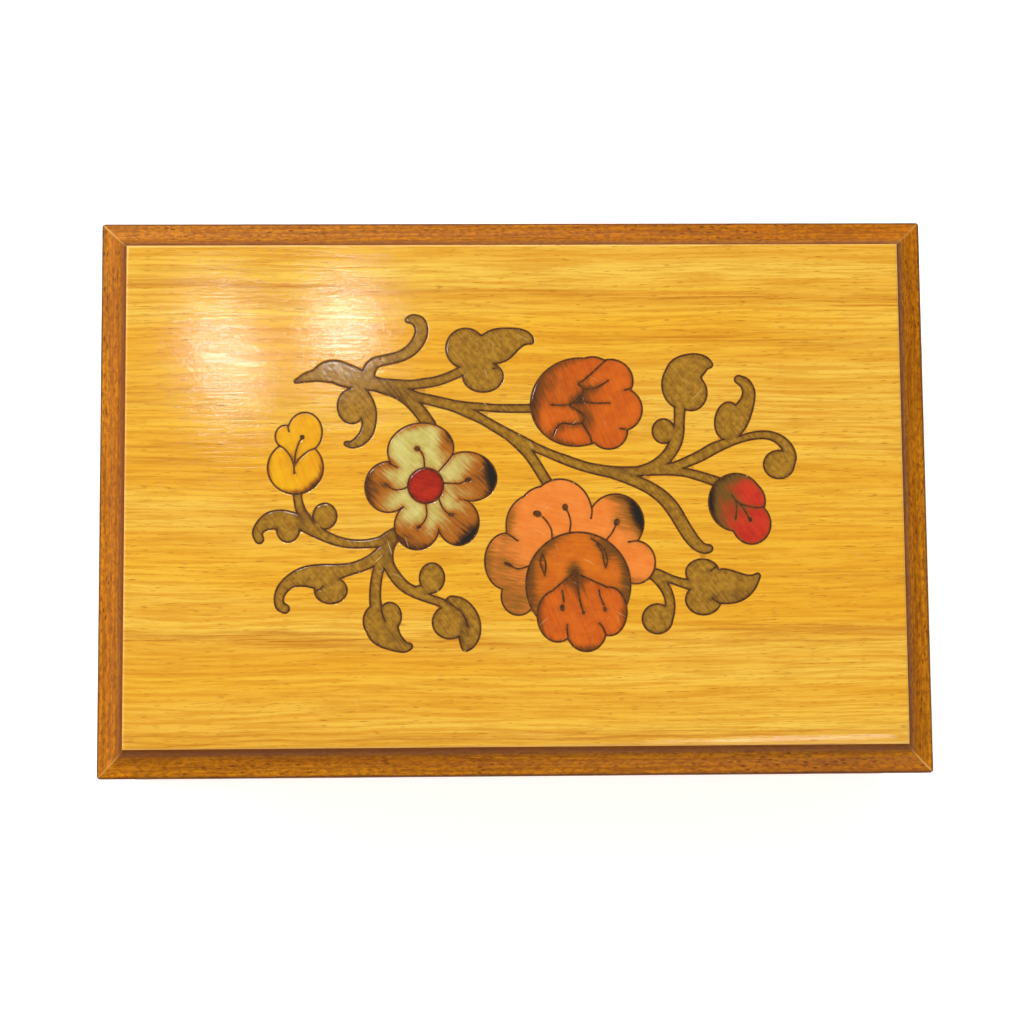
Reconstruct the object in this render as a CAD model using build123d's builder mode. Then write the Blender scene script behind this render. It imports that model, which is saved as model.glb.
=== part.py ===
from build123d import *
import os

# Keepsake box with a hinged, coved lid and a flower marquetry panel. Millimetres, +Z up, front is -Y.

os.makedirs("parts", exist_ok=True)

# Overall sizes
lid_length = 156.0
lid_width = 105.0
wall_height = 41.0
wall_thickness = 7.0
lid_overhang = 4.0
plinth_height = 9.0
lid_rail_height = 9.3
base_thickness = 5.0
core_thickness = 4.0
rebate_width = 3.5
veneer_thickness = 0.7
felt_thickness = 1.0
felt_inset = 1.5

# Hollow moulding on the lid and on the plinth
lid_cove_width = 5.4
lid_cove_depth = 4.6
plinth_cove_depth = 4.2
arris_radius = 0.7
corner_radius = 0.9

# Clearances
lid_gap = 0.2
core_clearance = 0.1
lining_clearance = 0.3
hinge_clearance = 0.3
knuckle_gap = 0.15
pin_clearance = 0.05

# Lining pads
wall_pad_thickness = 2.0
floor_pad_thickness = 3.0
lid_pad_thickness = 2.5
wall_pad_below_rim = 1.5

# Butt hinges
hinge_length = 22.0
hinge_inset = 21.0
leaf_thickness = 1.0
leaf_reach = 6.4
knuckle_radius = 1.5
pin_radius = 0.7
axis_behind_wall = 0.5
pin_head_radius = 1.1
pin_head_length = 0.5

# Countersunk hinge screws
screw_spacing = 13.0
screw_radius = 0.8
screw_head_radius = 1.5
screw_length = 4.6
screw_setback = 3.9
screw_slot_width = 0.35
screw_slot_depth = 0.3

# Marquetry: the pattern and its saw cuts are drawn on a sheet of this size and scaled to the field
drawing_length = 145.0
drawing_width = 94.0
kerf_width = 0.3
vein_half_width = 0.14

# Levels and outlines that follow from the sizes
base_bottom = felt_thickness
base_top = base_bottom + base_thickness
plinth_top = base_bottom + plinth_height
wall_top = plinth_top + wall_height
lid_bottom = wall_top + lid_gap
rail_top = lid_bottom + lid_rail_height
lid_top = rail_top + veneer_thickness
rail_width = lid_overhang + wall_thickness
body_length = lid_length - 2 * lid_overhang
body_width = lid_width - 2 * lid_overhang
carcase_length = body_length - 2 * veneer_thickness
carcase_width = body_width - 2 * veneer_thickness
inner_length = body_length - 2 * wall_thickness
inner_width = body_width - 2 * wall_thickness
field_length = lid_length - 2 * lid_cove_width
field_width = lid_width - 2 * lid_cove_width
pattern_scale = min(field_length / drawing_length, field_width / drawing_width)
hinge_axis_y = body_width / 2 + axis_behind_wall
hinge_axis_z = wall_top + lid_gap / 2
hinge_x = body_length / 2 - hinge_inset - hinge_length / 2
hinge_places = {"left": -hinge_x, "right": hinge_x}


def save(part, name):
    """Label a finished piece and write it as a STEP file."""
    part.label = name
    export_step(part, f"parts/{name}.step")


def frame_sides(length, width):
    """Each side of a rectangular frame: its name, turn, run along the side and distance of its outer face."""
    return (
        ("front", 0, length, width / 2),
        ("right", 90, width, length / 2),
        ("back", 180, length, width / 2),
        ("left", 270, width, length / 2),
    )


def side_plane(turn, face_distance):
    """Plane across a side: x runs inwards from the outer face, y runs up, z runs along the side."""
    outward = Vector(0, -1, 0).rotate(Axis.Z, turn)
    along = Vector(0, 0, 1).cross(outward)
    return Plane(origin=outward * face_distance, x_dir=outward * -1, z_dir=along)


def keep_mitred(run, turn, face_distance, depth):
    """Cut the open part to the mitred footprint of one side of a frame."""
    with BuildSketch(Plane.XY.rotated((0, 0, turn))) as footprint:
        with BuildLine():
            Polyline(
                (-run / 2, -face_distance),
                (run / 2, -face_distance),
                (run / 2 - depth, -face_distance + depth),
                (-run / 2 + depth, -face_distance + depth),
                close=True,
            )
        make_face()
    extrude(footprint.sketch, amount=2 * lid_top, both=True, mode=Mode.INTERSECT)


def moulded_rail(turn, run, face, bottom, top, cove_width, cove_depth, rebate_low, rebate_high):
    """One mitred rail with a hollow on its upper outside and a rebate for its board on the inside."""
    with BuildPart() as rail:
        with BuildSketch(side_plane(turn, face)):
            with BuildLine():
                EllipticalCenterArc(
                    (arris_radius, top),
                    cove_width - arris_radius,
                    cove_depth,
                    start_angle=270,
                    arc_size=90,
                )
                RadiusArc((arris_radius, top - cove_depth), (0, top - cove_depth - arris_radius), -arris_radius)
                Polyline(
                    (0, top - cove_depth - arris_radius),
                    (0, bottom),
                    (rail_width, bottom),
                    (rail_width, top),
                    (cove_width, top),
                )
            make_face()
            with Locations((rail_width, rebate_low)):
                Rectangle(
                    rebate_width,
                    rebate_high - rebate_low,
                    align=(Align.MAX, Align.MIN),
                    mode=Mode.SUBTRACT,
                )
        extrude(amount=run / 2, both=True)
        keep_mitred(run, turn, face, rail_width)
    return rail.part


# Felt under the base
with BuildPart() as base_felt:
    with BuildSketch():
        RectangleRounded(lid_length - 2 * felt_inset, lid_width - 2 * felt_inset, corner_radius)
    extrude(amount=felt_thickness)
save(base_felt.part, "base_felt")

# Base panel, held in the rebate of the plinth rails
panel_reach = 2 * (rebate_width - core_clearance)
with BuildPart() as base_panel:
    with BuildSketch(Plane.XY.offset(base_bottom)):
        Rectangle(inner_length + panel_reach, inner_width + panel_reach)
    extrude(amount=base_thickness)
save(base_panel.part, "base_panel")

# Rounded outline that softens the four mitred corners of a frame
with BuildPart() as corner_rounding:
    with BuildSketch():
        RectangleRounded(lid_length, lid_width, corner_radius)
    extrude(amount=lid_top + lid_rail_height)

# Plinth rails
for side, turn, run, face in frame_sides(lid_length, lid_width):
    blank = moulded_rail(
        turn, run, face, base_bottom, plinth_top, lid_overhang, plinth_cove_depth, base_bottom, base_top
    )
    with BuildPart() as plinth_rail:
        add(blank)
        add(corner_rounding.part, mode=Mode.INTERSECT)
    save(plinth_rail.part, f"plinth_{side}")

# Room for a hinge: the two leaf mortises and the round way for the knuckles
with BuildPart() as hinge_room:
    for place in hinge_places.values():
        with Locations((place, hinge_axis_y, hinge_axis_z)):
            Cylinder(
                knuckle_radius + hinge_clearance,
                hinge_length + 2 * pin_head_length + 2 * hinge_clearance,
                rotation=(0, 90, 0),
            )
            Box(
                hinge_length + 2 * hinge_clearance,
                leaf_reach + hinge_clearance,
                lid_gap + 2 * leaf_thickness,
                align=(Align.CENTER, Align.MAX, Align.CENTER),
            )

# Holes for the screws, from the lid's and the box's side of the hinge joint
screw_y = hinge_axis_y - screw_setback
screw_places = [
    (place + offset, screw_y)
    for place in hinge_places.values()
    for offset in (-screw_spacing / 2, screw_spacing / 2)
]
with BuildPart() as screw_room:
    for x, y in screw_places:
        with Locations((x, y, hinge_axis_z)):
            Cylinder(screw_radius, lid_gap + 2 * screw_length + 2 * lid_gap)

# Box walls, mitred, with the hinge room cut in the back wall
for side, turn, run, face in frame_sides(carcase_length, carcase_width):
    with BuildPart() as wall:
        with BuildSketch(side_plane(turn, face)):
            with Locations((0, plinth_top)):
                Rectangle(wall_thickness - veneer_thickness, wall_height, align=(Align.MIN, Align.MIN))
        extrude(amount=run / 2, both=True)
        keep_mitred(run, turn, face, wall_thickness - veneer_thickness)
        if side == "back":
            add(hinge_room.part, mode=Mode.SUBTRACT)
            add(screw_room.part, mode=Mode.SUBTRACT)
    save(wall.part, f"wall_{side}")

# Veneer on the outside of the walls, mitred at the corners
for side, turn, run, face in frame_sides(body_length, body_width):
    with BuildPart() as wall_veneer:
        with BuildSketch(side_plane(turn, face)):
            with Locations((0, plinth_top)):
                Rectangle(veneer_thickness, wall_height, align=(Align.MIN, Align.MIN))
        extrude(amount=run / 2, both=True)
        keep_mitred(run, turn, face, veneer_thickness)
        if side == "back":
            add(hinge_room.part, mode=Mode.SUBTRACT)
    save(wall_veneer.part, f"wall_veneer_{side}")

# Lining pads of the box
floor_pad_top = base_top + floor_pad_thickness
with BuildPart() as lining_floor:
    with BuildSketch(Plane.XY.offset(base_top)):
        Rectangle(inner_length - 2 * lining_clearance, inner_width - 2 * lining_clearance)
    extrude(amount=floor_pad_thickness)
    fillet(lining_floor.edges().group_by(Axis.Z)[-1], floor_pad_thickness / 3)
save(lining_floor.part, "lining_floor")

wall_pad_bottom = floor_pad_top + lining_clearance
wall_pad_height = wall_top - wall_pad_below_rim - wall_pad_bottom
for side, turn, run, face in frame_sides(inner_length, inner_width):
    if side in ("front", "back"):
        pad_run = run - 2 * lining_clearance
    else:
        pad_run = run - 2 * wall_pad_thickness - 2 * lining_clearance
    with BuildPart() as wall_pad:
        with BuildSketch(side_plane(turn, face)):
            with Locations((0, wall_pad_bottom)):
                Rectangle(wall_pad_thickness, wall_pad_height, align=(Align.MIN, Align.MIN))
            fillet(vertices().group_by(Axis.Z)[-1], wall_pad_thickness / 3)
        extrude(amount=pad_run / 2, both=True)
    save(wall_pad.part, f"lining_{side}")

# Lid rails, mitred, with the hinge room cut in the back rail
for side, turn, run, face in frame_sides(lid_length, lid_width):
    blank = moulded_rail(
        turn,
        run,
        face,
        lid_bottom,
        rail_top,
        lid_cove_width,
        lid_cove_depth,
        rail_top - core_thickness,
        rail_top,
    )
    with BuildPart() as lid_rail:
        add(blank)
        add(corner_rounding.part, mode=Mode.INTERSECT)
        if side == "back":
            add(hinge_room.part, mode=Mode.SUBTRACT)
            add(screw_room.part, mode=Mode.SUBTRACT)
    save(lid_rail.part, f"lid_rail_{side}")

# Lid core board in the rebate of the rails
with BuildPart() as lid_core:
    with BuildSketch(Plane.XY.offset(rail_top - core_thickness)):
        Rectangle(inner_length + panel_reach, inner_width + panel_reach)
    extrude(amount=core_thickness)
save(lid_core.part, "lid_core")

# Padded lining under the core board
with BuildPart() as lid_lining:
    with BuildSketch(Plane.XY.offset(rail_top - core_thickness)):
        Rectangle(inner_length - 2 * lining_clearance, inner_width - 2 * lining_clearance)
    extrude(amount=-lid_pad_thickness)
    fillet(lid_lining.edges().group_by(Axis.Z)[0], lid_pad_thickness / 3)
save(lid_lining.part, "lid_lining")

# The pattern, in millimetres on the drawing. A lobe is (x, y, half length, half height, turn).
# A stroke is a list of (x, y, half width) along the middle of a stem or leaf.
leaf_lobes = [
    (-30.4, 16.4, 2.65, 3.3, 0),
    (-9.1, 27.25, 3.7, 3.8, 0),
    (-5.9, 21.9, 3.75, 2.95, 0),
    (31.4, 20.2, 3.8, 4.6, 0),
    (33.0, 18.7, 3.0, 3.4, 0),
    (27.75, 11.45, 2.1, 2.3, 0),
    (39.8, 13.3, 2.4, 3.6, -8),
    (49.25, 5.05, 2.85, 2.65, 0),
    (34.6, -15.1, 3.1, 2.5, 0),
    (34.7, -20.1, 3.3, 2.85, 0),
    (26.1, -23.65, 2.8, 2.75, 0),
    (-35.4, -4.2, 2.2, 2.4, 0),
    (-42.2, -6.6, 2.1, 2.4, 0),
    (-34.3, -18.0, 3.0, 2.45, 0),
    (-23.4, -22.9, 2.1, 2.6, 0),
    (-26.0, -23.7, 2.3, 2.9, 0),
    (-15.6, -15.8, 2.3, 2.75, 0),
    (-12.3, -24.0, 3.25, 3.1, 0),
]
leaf_strokes = {
    "long_tipped_leaf": [
        (-40.8, 21.1, 0.3), (-38.8, 21.85, 0.85), (-36.9, 22.3, 1.15), (-35.2, 22.85, 1.85), (-33.5, 22.9, 2.15),
        (-31.5, 22.2, 2.15), (-29.5, 21.6, 1.9), (-27.5, 20.9, 1.45), (-25.2, 20.35, 1.25),
    ],
    "comma_leaf": [
        (-29.3, 19.5, 1.3), (-28.2, 17.5, 1.6), (-27.4, 15.4, 1.55), (-27.2, 13.2, 1.25), (-27.7, 11.3, 1.15),
        (-28.9, 9.9, 0.95), (-30.3, 9.2, 0.65), (-31.4, 9.35, 0.4),
    ],
    "tendril": [
        (-27.3, 21.6, 1.1), (-27.1, 23.2, 1.15), (-26.1, 24.5, 1.0), (-24.0, 25.1, 0.92), (-21.5, 25.7, 0.95),
        (-19.4, 26.9, 1.05), (-18.0, 28.6, 1.13), (-17.35, 30.5, 1.15), (-17.75, 32.1, 1.15), (-18.9, 32.8, 0.85),
        (-19.85, 32.65, 0.5),
    ],
    "upper_stem": [
        (-25.2, 20.35, 1.2), (-23.0, 20.3, 1.1), (-21.0, 20.35, 0.9), (-19.0, 20.4, 0.82), (-16.7, 20.7, 0.85),
        (-15.0, 20.95, 0.82), (-13.3, 21.45, 0.82), (-11.2, 22.3, 0.82), (-9.0, 23.4, 0.9),
    ],
    "upper_pointed_lobe": [
        (-7.0, 26.6, 2.9), (-5.0, 27.1, 2.8), (-3.1, 27.7, 3.2), (-1.1, 28.6, 2.45), (0.8, 29.2, 1.7),
        (2.3, 29.1, 1.1), (3.15, 28.5, 0.45),
    ],
    "main_stem": [
        (-25.2, 20.2, 1.2), (-22.6, 19.4, 1.25), (-20.0, 18.6, 1.05), (-18.0, 18.0, 0.9), (-16.0, 17.55, 0.9),
        (-13.6, 16.95, 0.95), (-11.2, 16.3, 1.0), (-8.9, 15.25, 0.98), (-6.2, 13.85, 0.82), (-3.5, 12.25, 0.85),
        (-1.0, 10.8, 0.95), (1.3, 9.55, 1.0), (3.8, 8.45, 0.78), (6.6, 7.2, 0.75), (9.0, 6.25, 0.83),
        (11.4, 5.35, 0.85), (13.8, 4.6, 0.87), (16.1, 4.1, 0.95), (18.3, 3.75, 1.05), (20.5, 3.7, 1.0),
        (23.0, 3.9, 0.85), (25.5, 4.1, 0.9), (28.0, 4.35, 0.95),
    ],
    "daisy_branch": [
        (-22.6, 19.4, 1.2), (-20.5, 18.2, 1.2), (-18.8, 16.6, 1.15), (-17.3, 14.8, 1.15), (-16.0, 12.8, 1.2),
    ],
    "orange_bud_branch": [
        (-11.2, 16.4, 0.95), (-8.9, 16.3, 0.72), (-6.5, 16.15, 0.67), (-4.1, 15.95, 0.66), (-1.7, 15.85, 0.7),
        (0.7, 15.83, 0.72), (3.6, 15.83, 0.72),
    ],
    "rose_branch": [
        (-0.8, 10.5, 0.9), (0.9, 9.2, 1.1), (2.5, 7.3, 0.95), (3.9, 5.2, 0.9), (5.1, 3.2, 0.9), (6.2, 1.4, 0.9),
    ],
    "long_blade": [
        (18.3, 3.6, 1.0), (20.8, 2.75, 1.05), (23.2, 1.7, 1.05), (25.6, 0.4, 1.1), (27.8, -1.35, 1.2),
        (29.5, -3.5, 1.25), (30.9, -5.9, 1.2), (32.3, -8.2, 1.18), (33.7, -9.9, 1.05), (35.0, -10.65, 0.85),
        (35.85, -10.65, 0.72),
    ],
    "red_bud_branch": [
        (26.0, 4.1, 0.9), (28.8, 4.05, 0.85), (31.5, 3.7, 0.75), (34.0, 3.05, 0.8), (36.2, 2.35, 0.85),
        (38.0, 1.7, 0.9),
    ],
    "big_leaf_stem": [
        (23.0, 3.9, 0.85), (25.4, 4.6, 1.0), (27.4, 5.8, 1.1), (28.9, 7.4, 1.1), (29.95, 9.3, 1.15),
        (30.5, 11.3, 1.05), (30.72, 13.3, 0.9), (30.85, 15.7, 1.0),
    ],
    "big_leaf_tip": [
        (31.0, 21.2, 3.0), (31.5, 22.6, 2.9), (33.4, 23.6, 2.45), (35.2, 24.25, 1.45), (36.5, 24.0, 0.65),
    ],
    "right_stem": [
        (28.0, 4.35, 0.95), (29.8, 4.75, 0.85), (32.0, 5.6, 0.88), (34.7, 6.8, 0.97), (37.0, 8.1, 1.0),
        (39.4, 9.1, 0.85), (41.8, 9.8, 0.62), (44.2, 10.45, 0.66), (46.5, 10.67, 0.7), (48.4, 10.3, 0.78),
        (49.9, 9.4, 0.9), (50.95, 8.1, 1.0), (51.35, 6.5, 1.15), (50.9, 5.0, 1.2),
    ],
    "right_leaf_tip": [
        (40.3, 11.2, 1.7), (41.35, 13.2, 2.15), (42.6, 15.1, 1.75), (43.55, 17.0, 1.3), (43.85, 18.8, 1.12),
        (43.2, 20.4, 0.98), (42.0, 21.15, 0.75),
    ],
    "lower_leaf_stem": [
        (24.6, -15.0, 1.0), (26.5, -15.55, 0.95), (28.7, -16.3, 0.72), (31.0, -17.05, 0.78), (33.2, -17.5, 1.0),
    ],
    "lower_pointed_lobe": [
        (36.0, -17.5, 2.6), (38.3, -17.65, 3.2), (40.5, -17.85, 2.8), (42.4, -17.5, 1.95), (43.9, -16.7, 1.05),
        (44.85, -15.8, 0.5),
    ],
    "curl": [
        (25.2, -15.2, 0.95), (26.6, -16.5, 0.95), (27.8, -18.3, 0.88), (28.42, -20.2, 0.85), (28.35, -22.0, 0.95),
        (27.6, -23.6, 1.3), (26.6, -24.5, 1.6),
    ],
    "tulip_stem": [(-40.5, 0.6, 0.72), (-40.35, -1.2, 0.74), (-39.8, -3.2, 0.85), (-38.7, -5.2, 1.1)],
    "hooked_leaf": [
        (-39.3, -5.6, 1.15), (-41.4, -5.0, 1.5), (-43.4, -4.8, 1.75), (-45.3, -4.95, 1.6), (-46.9, -5.8, 1.15),
        (-47.85, -7.2, 0.88), (-47.5, -8.45, 0.78),
    ],
    "left_stem": [
        (-40.0, -5.6, 1.0), (-38.1, -6.3, 1.25), (-36.0, -7.6, 0.98), (-33.8, -8.6, 0.85), (-31.4, -9.25, 0.78),
        (-29.0, -9.42, 0.72), (-27.0, -9.3, 0.75), (-25.0, -9.0, 0.95), (-23.3, -8.2, 1.2), (-21.8, -7.4, 1.2),
    ],
    "lower_trunk": [
        (-22.3, -7.6, 1.0), (-23.7, -9.6, 1.25), (-24.1, -11.6, 1.25), (-23.5, -13.6, 1.0), (-22.2, -15.7, 1.0),
        (-20.6, -17.4, 0.95), (-18.6, -18.5, 0.95), (-16.2, -19.6, 0.75), (-14.2, -20.3, 0.75), (-12.4, -21.3, 0.9),
    ],
    "round_leaf_neck": [(-18.4, -18.3, 0.95), (-16.8, -17.9, 1.0), (-15.6, -17.2, 1.4)],
    "long_hooked_leaf": [
        (-24.6, -11.0, 1.3), (-26.5, -12.4, 1.12), (-28.6, -13.4, 1.05), (-30.7, -14.05, 1.05), (-33.2, -14.6, 1.4),
        (-36.0, -15.4, 2.2), (-38.9, -15.4, 1.8), (-41.5, -16.15, 1.2), (-43.2, -17.7, 0.97), (-43.85, -19.4, 0.83),
        (-43.6, -20.8, 0.82), (-42.75, -21.35, 0.8),
    ],
    "middle_stem": [
        (-25.0, -12.3, 1.1), (-25.55, -14.4, 0.95), (-26.0, -16.9, 0.95), (-26.12, -19.4, 0.98), (-25.9, -21.6, 1.05),
    ],
    "middle_leaf_tip": [
        (-25.2, -24.4, 2.75), (-24.6, -25.6, 2.75), (-23.1, -27.2, 1.85), (-21.0, -28.5, 1.0), (-19.9, -28.45, 0.62),
    ],
    "crescent": [
        (-11.9, -20.4, 1.2), (-10.5, -21.5, 1.9), (-9.2, -23.5, 2.2), (-8.75, -25.6, 2.05), (-8.95, -27.3, 1.6),
        (-9.4, -28.6, 0.8),
    ],
}
tulip_lobes = [(-39.1, 11.5, 3.2, 3.75, 0), (-42.75, 10.75, 1.85, 2.1, 0), (-40.85, 4.9, 5.15, 4.95, 0)]
daisy_lobes = [
    (-17.6, 8.2, 6.15, 4.95, 8),
    (-8.8, 3.1, 5.35, 4.55, -15),
    (-10.7, -5.4, 3.85, 4.35, 0),
    (-18.35, -6.1, 4.15, 4.45, 0),
    (-23.6, 1.2, 4.35, 4.75, 0),
    (-16.2, 1.2, 6.5, 5.5, 0),
    (-14.6, -3.6, 2.8, 2.7, 0),
]
daisy_centre_lobes = [(-16.7, 1.4, 3.3, 3.3, 0)]
orange_bud_lobes = [
    (11.8, 17.0, 8.9, 8.25, 20),
    (14.6, 21.2, 4.2, 4.35, 0),
    (17.9, 21.0, 4.25, 4.05, 0),
    (19.9, 15.6, 3.9, 4.05, 0),
    (17.5, 11.5, 3.5, 3.4, 0),
]
rose_outer_lobes = [
    (8.3, -4.2, 5.95, 6.7, 0),
    (3.4, -6.2, 5.2, 5.9, 0),
    (5.5, -3.2, 4.8, 4.4, 0),
    (18.6, -5.7, 5.2, 5.35, 0),
    (22.2, -13.1, 3.65, 4.0, 0),
    (-1.8, -12.8, 4.0, 5.25, 0),
    (0.4, -19.3, 3.2, 3.5, 0),
    (10.0, -13.0, 11.0, 7.5, 0),
]
rose_heart_lobes = [(11.5, -17.2, 9.7, 9.75, 0)]
rose_front_lobes = [(7.6, -23.0, 3.75, 4.8, 0), (12.9, -25.6, 3.7, 4.0, 0), (17.2, -22.2, 3.25, 4.5, 0)]
rose_front_strokes = {
    "left_fold": [(10.8, -15.2, 0.25), (7.9, -22.2, 3.8)],
    "middle_fold": [(10.8, -15.2, 0.25), (12.6, -24.0, 3.2)],
    "right_fold": [(10.8, -15.2, 0.25), (16.8, -21.0, 3.0)],
}
red_bud_lobes = [(41.1, -2.0, 5.1, 5.4, 0), (42.6, -1.8, 3.95, 3.95, 0), (43.9, -6.0, 3.6, 3.85, 0)]

# Saw cuts across the pieces: petal edges, folds, stamens and leaf veins, as (x, y) along each cut
tulip_veins = [
    [(-44.2, 9.1), (-43.1, 8.6), (-41.9, 7.2), (-41.2, 5.5), (-41.1, 4.0)],
    [(-41.0, 5.8), (-40.8, 7.7), (-40.2, 9.6), (-39.7, 10.3)],
    [(-41.0, 5.2), (-40.2, 6.5), (-38.6, 7.9)],
    [(-42.3, 12.7), (-42.05, 11.6)],
]
daisy_veins = [
    [(-16.9, 4.6), (-17.0, 6.5), (-17.5, 7.7), (-18.0, 8.1)],
    [(-13.5, 1.9), (-11.7, 1.8), (-10.3, 1.8), (-9.3, 2.2)],
    [(-19.9, 1.3), (-21.2, 0.7), (-22.6, 0.7), (-23.6, 1.3)],
    [(-16.7, -1.8), (-16.5, -3.9), (-17.0, -5.3), (-17.7, -6.1)],
    [(-14.3, -1.0), (-13.6, -2.7), (-12.9, -3.55), (-12.3, -3.95)],
    [(-11.6, 7.3), (-12.4, 6.2), (-13.6, 4.8), (-14.6, 3.8)],
    [(-23.4, 5.6), (-21.9, 4.8)],
    [(-21.9, -3.7), (-21.4, -2.8)],
    [(-8.6, -1.5), (-9.5, -1.3)],
]
orange_bud_veins = [
    [
        (17.4, 25.1), (15.7, 23.6), (14.2, 22.2), (12.9, 21.1), (11.9, 20.4), (12.7, 19.8), (12.8, 18.6), (12.0, 17.5),
        (11.2, 16.95), (10.2, 16.5), (11.4, 15.6), (12.6, 14.8), (13.05, 13.86), (12.6, 13.1), (13.3, 11.8),
        (14.0, 10.5), (14.4, 8.9),
    ],
    [(10.2, 16.5), (8.5, 16.4), (6.8, 16.5)],
    [(12.8, 19.4), (14.95, 19.6), (16.4, 20.3), (17.6, 21.1)],
    [(12.3, 17.3), (14.7, 16.8), (17.8, 16.8)],
    [(12.4, 13.0), (10.9, 12.8), (8.9, 13.0), (7.8, 12.2), (7.1, 10.8)],
    [(21.8, 19.6), (20.5, 19.2)],
    [(21.3, 11.7), (19.6, 12.0)],
]
rose_outer_veins = [
    [(6.7, -8.6), (6.6, -7.0), (5.9, -5.6), (4.95, -4.5)],
    [(9.95, -7.7), (10.2, -5.6), (9.8, -3.9), (9.4, -3.2)],
    [(16.8, -8.9), (17.8, -7.7), (18.5, -6.4)],
    [(2.3, -13.7), (1.1, -14.1), (0.2, -14.2), (-0.7, -13.8)],
    [(-1.9, -7.4), (-0.76, -8.2), (0.2, -8.9)],
    [(14.2, -2.5), (14.2, -3.6), (14.05, -4.7)],
    [(22.6, -9.1), (21.0, -9.3)],
]
rose_heart_veins = [
    [(14.0, -8.6), (15.7, -9.9), (16.6, -11.3), (16.95, -12.9), (16.4, -14.1)],
    [(4.9, -11.4), (4.45, -13.0), (4.8, -15.3)],
]
rose_front_veins = [
    [(8.5, -18.3), (8.6, -18.9), (8.75, -20.4)],
    [(11.3, -17.0), (11.5, -18.9), (11.86, -20.6), (12.3, -22.0)],
    [(15.3, -18.2), (15.5, -19.4), (16.2, -20.9)],
    [(9.5, -27.2), (9.35, -25.6), (9.4, -24.6)],
    [(16.5, -26.5), (16.0, -25.2), (15.3, -24.4)],
]
red_bud_veins = [
    [(46.7, -2.6), (45.6, -3.0), (44.2, -2.95), (42.5, -2.5), (41.3, -1.9), (40.3, -0.6)],
    [(41.0, -1.6), (41.2, -2.7), (41.1, -4.1), (40.95, -5.2)],
    [(41.5, -2.0), (42.3, -2.95), (43.0, -4.1), (43.5, -5.2)],
]
leaf_veins = [
    [(-37.2, -18.1), (-36.3, -17.8), (-35.7, -17.2)],
    [(-25.1, -20.6), (-24.8, -22.4), (-24.3, -23.8)],
    [(-13.4, -19.8), (-11.7, -21.0), (-10.3, -22.1), (-9.45, -23.4), (-9.05, -24.9)],
    [(-2.9, 23.6), (-4.0, 23.4)],
    [(37.6, -13.7), (36.1, -14.8)],
    [(37.6, -20.8), (36.3, -19.9)],
]


def smooth(points, steps):
    """Points along a smooth line through the given rows of numbers, as many numbers to a point."""
    first = [2 * a - b for a, b in zip(points[0], points[1])]
    last = [2 * a - b for a, b in zip(points[-1], points[-2])]
    rows = [first, *points, last]
    line = []
    for index in range(1, len(rows) - 2):
        before, start, end, after = rows[index - 1 : index + 3]
        for step in range(steps):
            t = step / steps
            line.append(
                [
                    0.5 * (2 * s + (e - b) * t + (2 * b - 5 * s + 4 * e - a) * t**2 + (3 * s - b - 3 * e + a) * t**3)
                    for b, s, e, a in zip(before, start, end, after)
                ]
            )
    line.append(list(points[-1]))
    return line


def add_lobes(lobes, grow, mode=Mode.ADD):
    """Add the lobes to the open sketch, each widened all round by grow."""
    for x, y, half_length, half_height, turn in lobes:
        with Locations((x * pattern_scale, y * pattern_scale)):
            Ellipse(
                half_length * pattern_scale + grow,
                half_height * pattern_scale + grow,
                rotation=turn,
                mode=mode,
            )


def add_stroke(points, grow, mode=Mode.ADD):
    """Add one tapering stroke with round ends to the open sketch, widened all round by grow."""
    line = [Vector(x, y) * pattern_scale for x, y, _ in smooth(points, 2)]
    widths = [width * pattern_scale + grow for _, _, width in smooth(points, 2)]
    left = []
    right = []
    for index, (point, width) in enumerate(zip(line, widths)):
        before = line[max(index - 1, 0)]
        after = line[min(index + 1, len(line) - 1)]
        heading = (after - before).normalized()
        side = Vector(-heading.Y, heading.X) * width
        left.append(point + side)
        right.append(point - side)
    start_tip = line[0] - (line[1] - line[0]).normalized() * widths[0]
    end_tip = line[-1] + (line[-1] - line[-2]).normalized() * widths[-1]
    with BuildLine() as edge_line:
        Spline(*left)
        ThreePointArc(left[-1], end_tip, right[-1])
        Spline(*reversed(right))
        ThreePointArc(right[0], start_tip, left[0])
    make_face(edge_line.edges(), mode=mode)


def add_shapes(lobes, strokes, grow, mode=Mode.ADD):
    """Add the lobes and strokes of one inlay to the open sketch, or cut them from it."""
    add_lobes(lobes, grow, mode)
    for points in strokes.values():
        add_stroke(points, grow, mode)


def add_veins(veins):
    """Cut the saw cuts from the open sketch."""
    for points in veins:
        add_stroke([(x, y, vein_half_width) for x, y in points], 0, Mode.SUBTRACT)


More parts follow.
